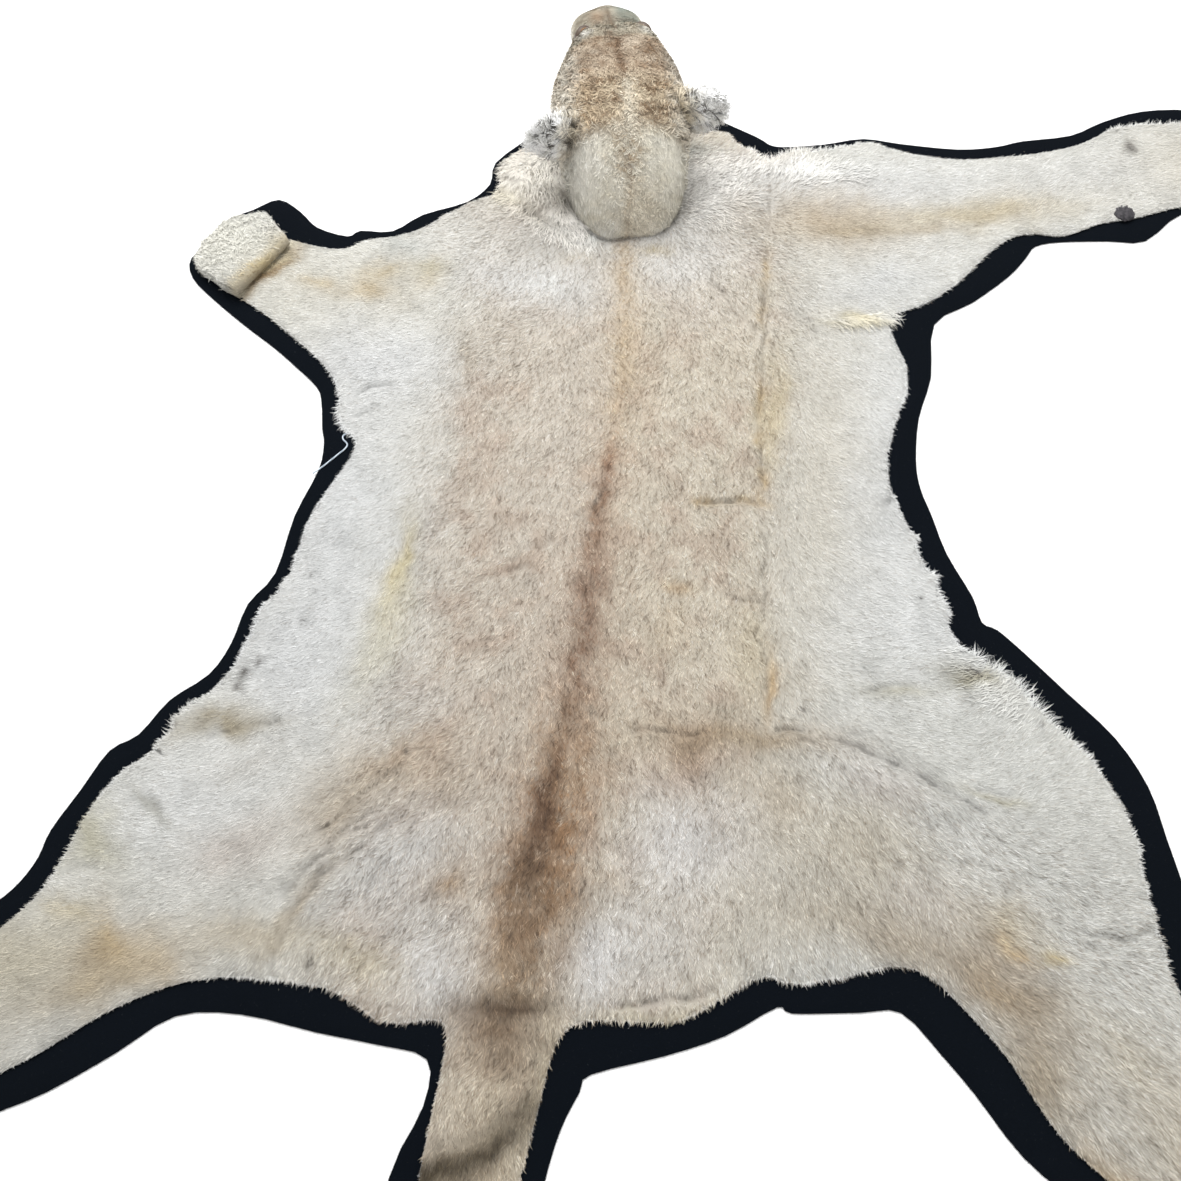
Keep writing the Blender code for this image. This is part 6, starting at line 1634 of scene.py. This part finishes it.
crown_hair = strands(
    "crown_curls", spine, across, (0.00056, 0.00054, 0.00040, 0.0),
    shades_of(dyed_for(head_colour(f, r, u) * shade[:, None]), 0.48, 0.88, 1.08, 1.14),
)
crown_hair.data.materials.append(coat_material)

# The whiskers
whisker_spines, whisker_sides = [], []
for hand in (-1, 1):
    for number, (wf, wu) in enumerate(WHISKER_ROOTS):
        start = from_head(wf, hand * 0.30, wu)
        hit, spot, normal, _ = head.ray_cast(Vector(start), Vector(-hand * RIGHT))
        if not hit:
            continue
        normal = np.array(normal)
        outwards = normal * 0.55 + hand * RIGHT * 0.75 - FORWARD * (0.35 + 0.05 * number) - UP * 0.10
        outwards /= np.linalg.norm(outwards)
        reach = 0.052 + 0.010 * ((number * 7) % 5)
        spot = np.array(spot) - normal * 0.0006
        whisker = [
            spot + outwards * reach * t + (-UP * 0.20 - FORWARD * 0.22) * reach * t * t
            for t in (0.0, 0.3, 0.65, 1.0)
        ]
        # Two strips that cross make a whisker that is broad from every side
        side = np.cross(outwards, normal)
        side /= np.linalg.norm(side)
        along = whisker[1] - whisker[0]
        whisker_spines += [whisker, whisker]
        whisker_sides += [side, np.cross(side, along) / np.linalg.norm(along)]
whiskers = strands(
    "whiskers", np.array(whisker_spines), np.array(whisker_sides), (0.00042, 0.00036, 0.00024, 0.0),
    np.tile(dye(236, 233, 226), (len(whisker_spines), 4, 1)),
)
whiskers.data.materials.append(hair_material("whisker bristle", 0.4))


# The eyes
# Glass eyes set in sockets of the form, amber with a round dark pupil. The skin's dark lids are drawn over
# their rims in an almond shape and glued down.

eye_material, eye_tree, eye_shader = finish_material("glass eye", 0.05)
eye_shader.inputs["Coat Weight"].default_value = 1.0
eye_shader.inputs["Coat Roughness"].default_value = 0.02
eye_off = node_in(eye_tree, "ShaderNodeAttribute", attribute_name="off_axis")
eye_ring = ramp_in(
    eye_tree, (0.0, dye(8, 6, 5)), (0.25, dye(8, 6, 5)), (0.285, dye(120, 74, 22)), (0.50, dye(176, 122, 46)),
    (0.60, dye(46, 28, 14)), (0.68, dye(34, 24, 18)),
)
eye_place = node_in(eye_tree, "ShaderNodeTexCoord")
eye_fleck = node_in(eye_tree, "ShaderNodeTexNoise", Scale=700.0, Detail=4.0)
eye_mix = node_in(eye_tree, "ShaderNodeMath", operation="MULTIPLY_ADD")
eye_mix.inputs[1].default_value = 0.10
eye_shift = node_in(eye_tree, "ShaderNodeMath", operation="SUBTRACT")
eye_shift.inputs[1].default_value = 0.05
wire(
    eye_tree, (eye_place, "Object", eye_fleck, "Vector"), (eye_fleck, "Fac", eye_mix, 0),
    (eye_off, "Fac", eye_mix, 2), (eye_mix, "Value", eye_shift, 0), (eye_shift, "Value", eye_ring, "Fac"),
    (eye_ring, "Color", eye_shader, "Base Color"),
)

lid_material, lid_tree, lid_shader = finish_material("dark lid", 0.5)
lid_place = node_in(lid_tree, "ShaderNodeTexCoord")
lid_grain = node_in(lid_tree, "ShaderNodeTexNoise", Scale=500.0, Detail=4.0)
lid_ramp = ramp_in(lid_tree, (0.0, dye(46, 36, 29)), (1.0, dye(96, 78, 64)))
lid_bump = node_in(lid_tree, "ShaderNodeBump", Strength=0.4, Distance=0.0006)
wire(
    lid_tree, (lid_place, "Object", lid_grain, "Vector"), (lid_grain, "Fac", lid_ramp, "Fac"),
    (lid_ramp, "Color", lid_shader, "Base Color"), (lid_grain, "Fac", lid_bump, "Height"),
    (lid_bump, "Normal", lid_shader, "Normal"),
)

eyes, lids = [], []
for name, hand in (("left", -1), ("right", 1)):
    low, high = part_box("eye_" + name)
    centre = (low + high) / 2
    gaze = Vector(FORWARD * 0.80 + RIGHT * hand * 0.52 + UP * 0.30).normalized()
    bpy.ops.object.select_all(action="DESELECT")
    bpy.ops.mesh.primitive_uv_sphere_add(segments=48, ring_count=32, radius=EYE_RADIUS, location=centre)
    eye = bpy.context.object
    eye.name = "glass_eye_" + name
    eye.data.transform(Matrix.Translation(centre) @ gaze.to_track_quat("Z", "Y").to_matrix().to_4x4())
    eye.location = (0.0, 0.0, 0.0)
    for vert in eye.data.vertices:
        off_axis = (vert.co - centre).angle(gaze)
        vert.co += gaze * 0.0010 * max(0.0, 1 - (off_axis / 0.7) ** 2)
    own_numbers(eye, "off_axis", [(v.co - centre).angle(gaze) / 1.7 for v in eye.data.vertices])
    bpy.ops.object.shade_smooth()
    eye.data.materials.append(eye_material)
    eyes.append(eye)

    bpy.ops.object.select_all(action="DESELECT")
    bpy.ops.mesh.primitive_torus_add(
        major_radius=0.0152, minor_radius=0.0024, major_segments=40, minor_segments=10,
        location=(0.0, 0.0, 0.0),
    )
    lid = bpy.context.object
    lid.name = "lids_" + name
    level = Vector((0, 0, 1)).cross(gaze).normalized()
    turn = Matrix((level, gaze.cross(level), gaze)).transposed().to_4x4()
    for vert in lid.data.vertices:
        ring = math.atan2(vert.co.y, vert.co.x)
        spread = math.hypot(vert.co.x, vert.co.y)
        almond = 1.0 - 0.30 * abs(math.sin(ring)) ** 1.4
        reach = spread * almond
        vert.co.x, vert.co.y = reach * math.cos(ring), reach * math.sin(ring)
        vert.co.z *= 1.5
        vert.co.z += math.sqrt(max(0.0, (EYE_RADIUS + 0.0012) ** 2 - min(reach, EYE_RADIUS) ** 2)) - 0.0008
    lid.data.transform(Matrix.Translation(centre) @ turn)
    lid.data.update()
    bpy.ops.object.shade_smooth()
    lid.data.materials.append(lid_material)
    lids.append(lid)


# The ears
# Two short round ears of stiff dried skin, part of the head's skin and left standing. Curly white hair grows
# over them, with dark grey streaks at their backs, partly dark hair and partly painted shade between the
# locks, and painted shade at their feet.

EAR_CURLS = 3600
# Each ear's name, its side, and its foot: forward, out and up
EARS = (("left", -1, 0.104, 0.076, 0.142), ("right", 1, 0.134, 0.082, 0.146))
ears = []
for name, hand, forward, out, up in EARS:
    ear = copy_of_node("ear_" + name, "ear_skin_" + name)
    edit_whole()
    cut_finer(2, smoothness=0.6)
    bpy.ops.object.shade_smooth()
    places, slants = read_places(ear)
    foot = from_head(forward, hand * out, up)

    def ear_colour(places, slants):
        """The colour of the ear's hair: light all over and tan at the root, with dark streaks at its back,
        partly dark hair and partly painted shade between the locks, and painted shade at the back of the
        root.
        """
        x, y, z = places.T
        reach = np.abs((places - foot) @ RIGHT)
        behind = soft_step(-(slants @ FORWARD) + 0.25 * slants[:, 2], -0.05, 0.45)
        streak = drift(x * 2 + z, y + z, 0.008, 97)
        root_share = until(reach + 0.010 * streak, 0.002, 0.036)
        # Dark streaks at the back: partly dark hair, partly painted shade in the gaps between the locks
        dark = behind * np.clip(3.2 * streak - 0.80, 0, 1) * (1 - 0.4 * soft_step(reach, 0.045, 0.075))
        light = dye(242, 242, 238) * (1 + 0.10 * drift(x, z, 0.014, 99))[:, None]
        light = painted(light, (204, 190, 164), root_share)
        # Painted shade at the back of the ear's root
        return painted(light, (60, 56, 50), np.maximum(dark, 0.26 * root_share * behind))

    # The ear's skin is darker than its curls, as painted shade in the gaps between them
    give_colours(ear, dyed_for(ear_colour(places, slants)) * 0.6)
    ear.data.materials.append(skin_material)

    root, slant = roots_in_order(
        ear, EAR_CURLS, 31 + hand, lambda middle, facing: np.ones(len(middle)), 0.008,
    )
    mark = on_tufts(root, 0.0075, 98)
    aim = unit(root - foot) + maker.normal(0, 0.25, (len(root), 3))
    aim = unit(aim - slant * np.sum(aim * slant, axis=1)[:, None] * 0.8)
    across = unit(np.cross(aim, slant))
    long = 0.008 + 0.012 * np.mod(mark * 3.7, 1) + 0.002 * maker.random(len(root))
    spine = curled(
        root, slant, aim, (mark - 0.5)[:, None] * 2.6 * across, long,
        ((0.50, 0.32, 0.3), (0.85, 0.34, 0.9), (0.90, 0.12, 1.3)), 0.0004,
    )
    uneven = 1.06 + 0.44 * (2 * np.mod(mark * 13.3, 1) - 1)
    curls = strands(
        "ear_curls_" + name, spine, across, (0.00052, 0.00050, 0.00040, 0.0),
        shades_of(dyed_for(ear_colour(root, slant) * uneven[:, None]), 0.72, 1.1, 1.2, 1.25, top=0.95),
    )
    curls.data.materials.append(coat_material)
    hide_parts("ear_" + name)
    ears += [ear, curls]

for piece, slot in (
    [(piece, "head_skin") for piece in [head, head_hair, crown_hair, whiskers] + lids]
    + [(piece, "glass_eye") for piece in eyes] + [(piece, "ear_hair") for piece in ears]
):
    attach(piece, "root")
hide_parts("head")
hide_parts("eye_left")
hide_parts("eye_right")


# The floor and the light
# A plain pale floor, a broad soft light from the upper left and an even pale sky.

bpy.ops.object.select_all(action="DESELECT")
bpy.ops.mesh.primitive_plane_add(size=40.0, location=(0.0, 0.0, -0.0005))
floor = bpy.context.object
floor.name = "floor"
floor_material, floor_tree, floor_shader = finish_material("pale floor", 0.9)
floor_place = node_in(floor_tree, "ShaderNodeTexCoord")
floor_grain = node_in(floor_tree, "ShaderNodeTexNoise", Scale=3.0, Detail=4.0)
floor_ramp = ramp_in(floor_tree, (0.0, (0.90, 0.90, 0.90)), (1.0, (0.94, 0.94, 0.935)))
wire(
    floor_tree, (floor_place, "Object", floor_grain, "Vector"), (floor_grain, "Fac", floor_ramp, "Fac"),
    (floor_ramp, "Color", floor_shader, "Base Color"),
)
floor.data.materials.append(floor_material)

for name, place, aim, size, power in (
    ("key light", (-0.5, 1.9, 3.2), (0.0, 0.2, 0.0), 2.6, 172.0),
    ("fill light", (2.4, -1.6, 2.6), (0.0, 0.0, 0.0), 3.0, 24.0),
):
    bpy.ops.object.light_add(type="AREA", location=place)
    lamp = bpy.context.object
    lamp.name = name
    lamp.data.size = size
    lamp.data.energy = power
    lamp.rotation_euler = (Vector(aim) - Vector(place)).to_track_quat("-Z", "Y").to_euler()
sky = bpy.data.worlds.new("pale sky")
bpy.context.scene.world = sky
sky.use_nodes = True
sky.node_tree.nodes["Background"].inputs["Color"].default_value = (1.0, 1.0, 1.0, 1.0)
sky.node_tree.nodes["Background"].inputs["Strength"].default_value = 0.70
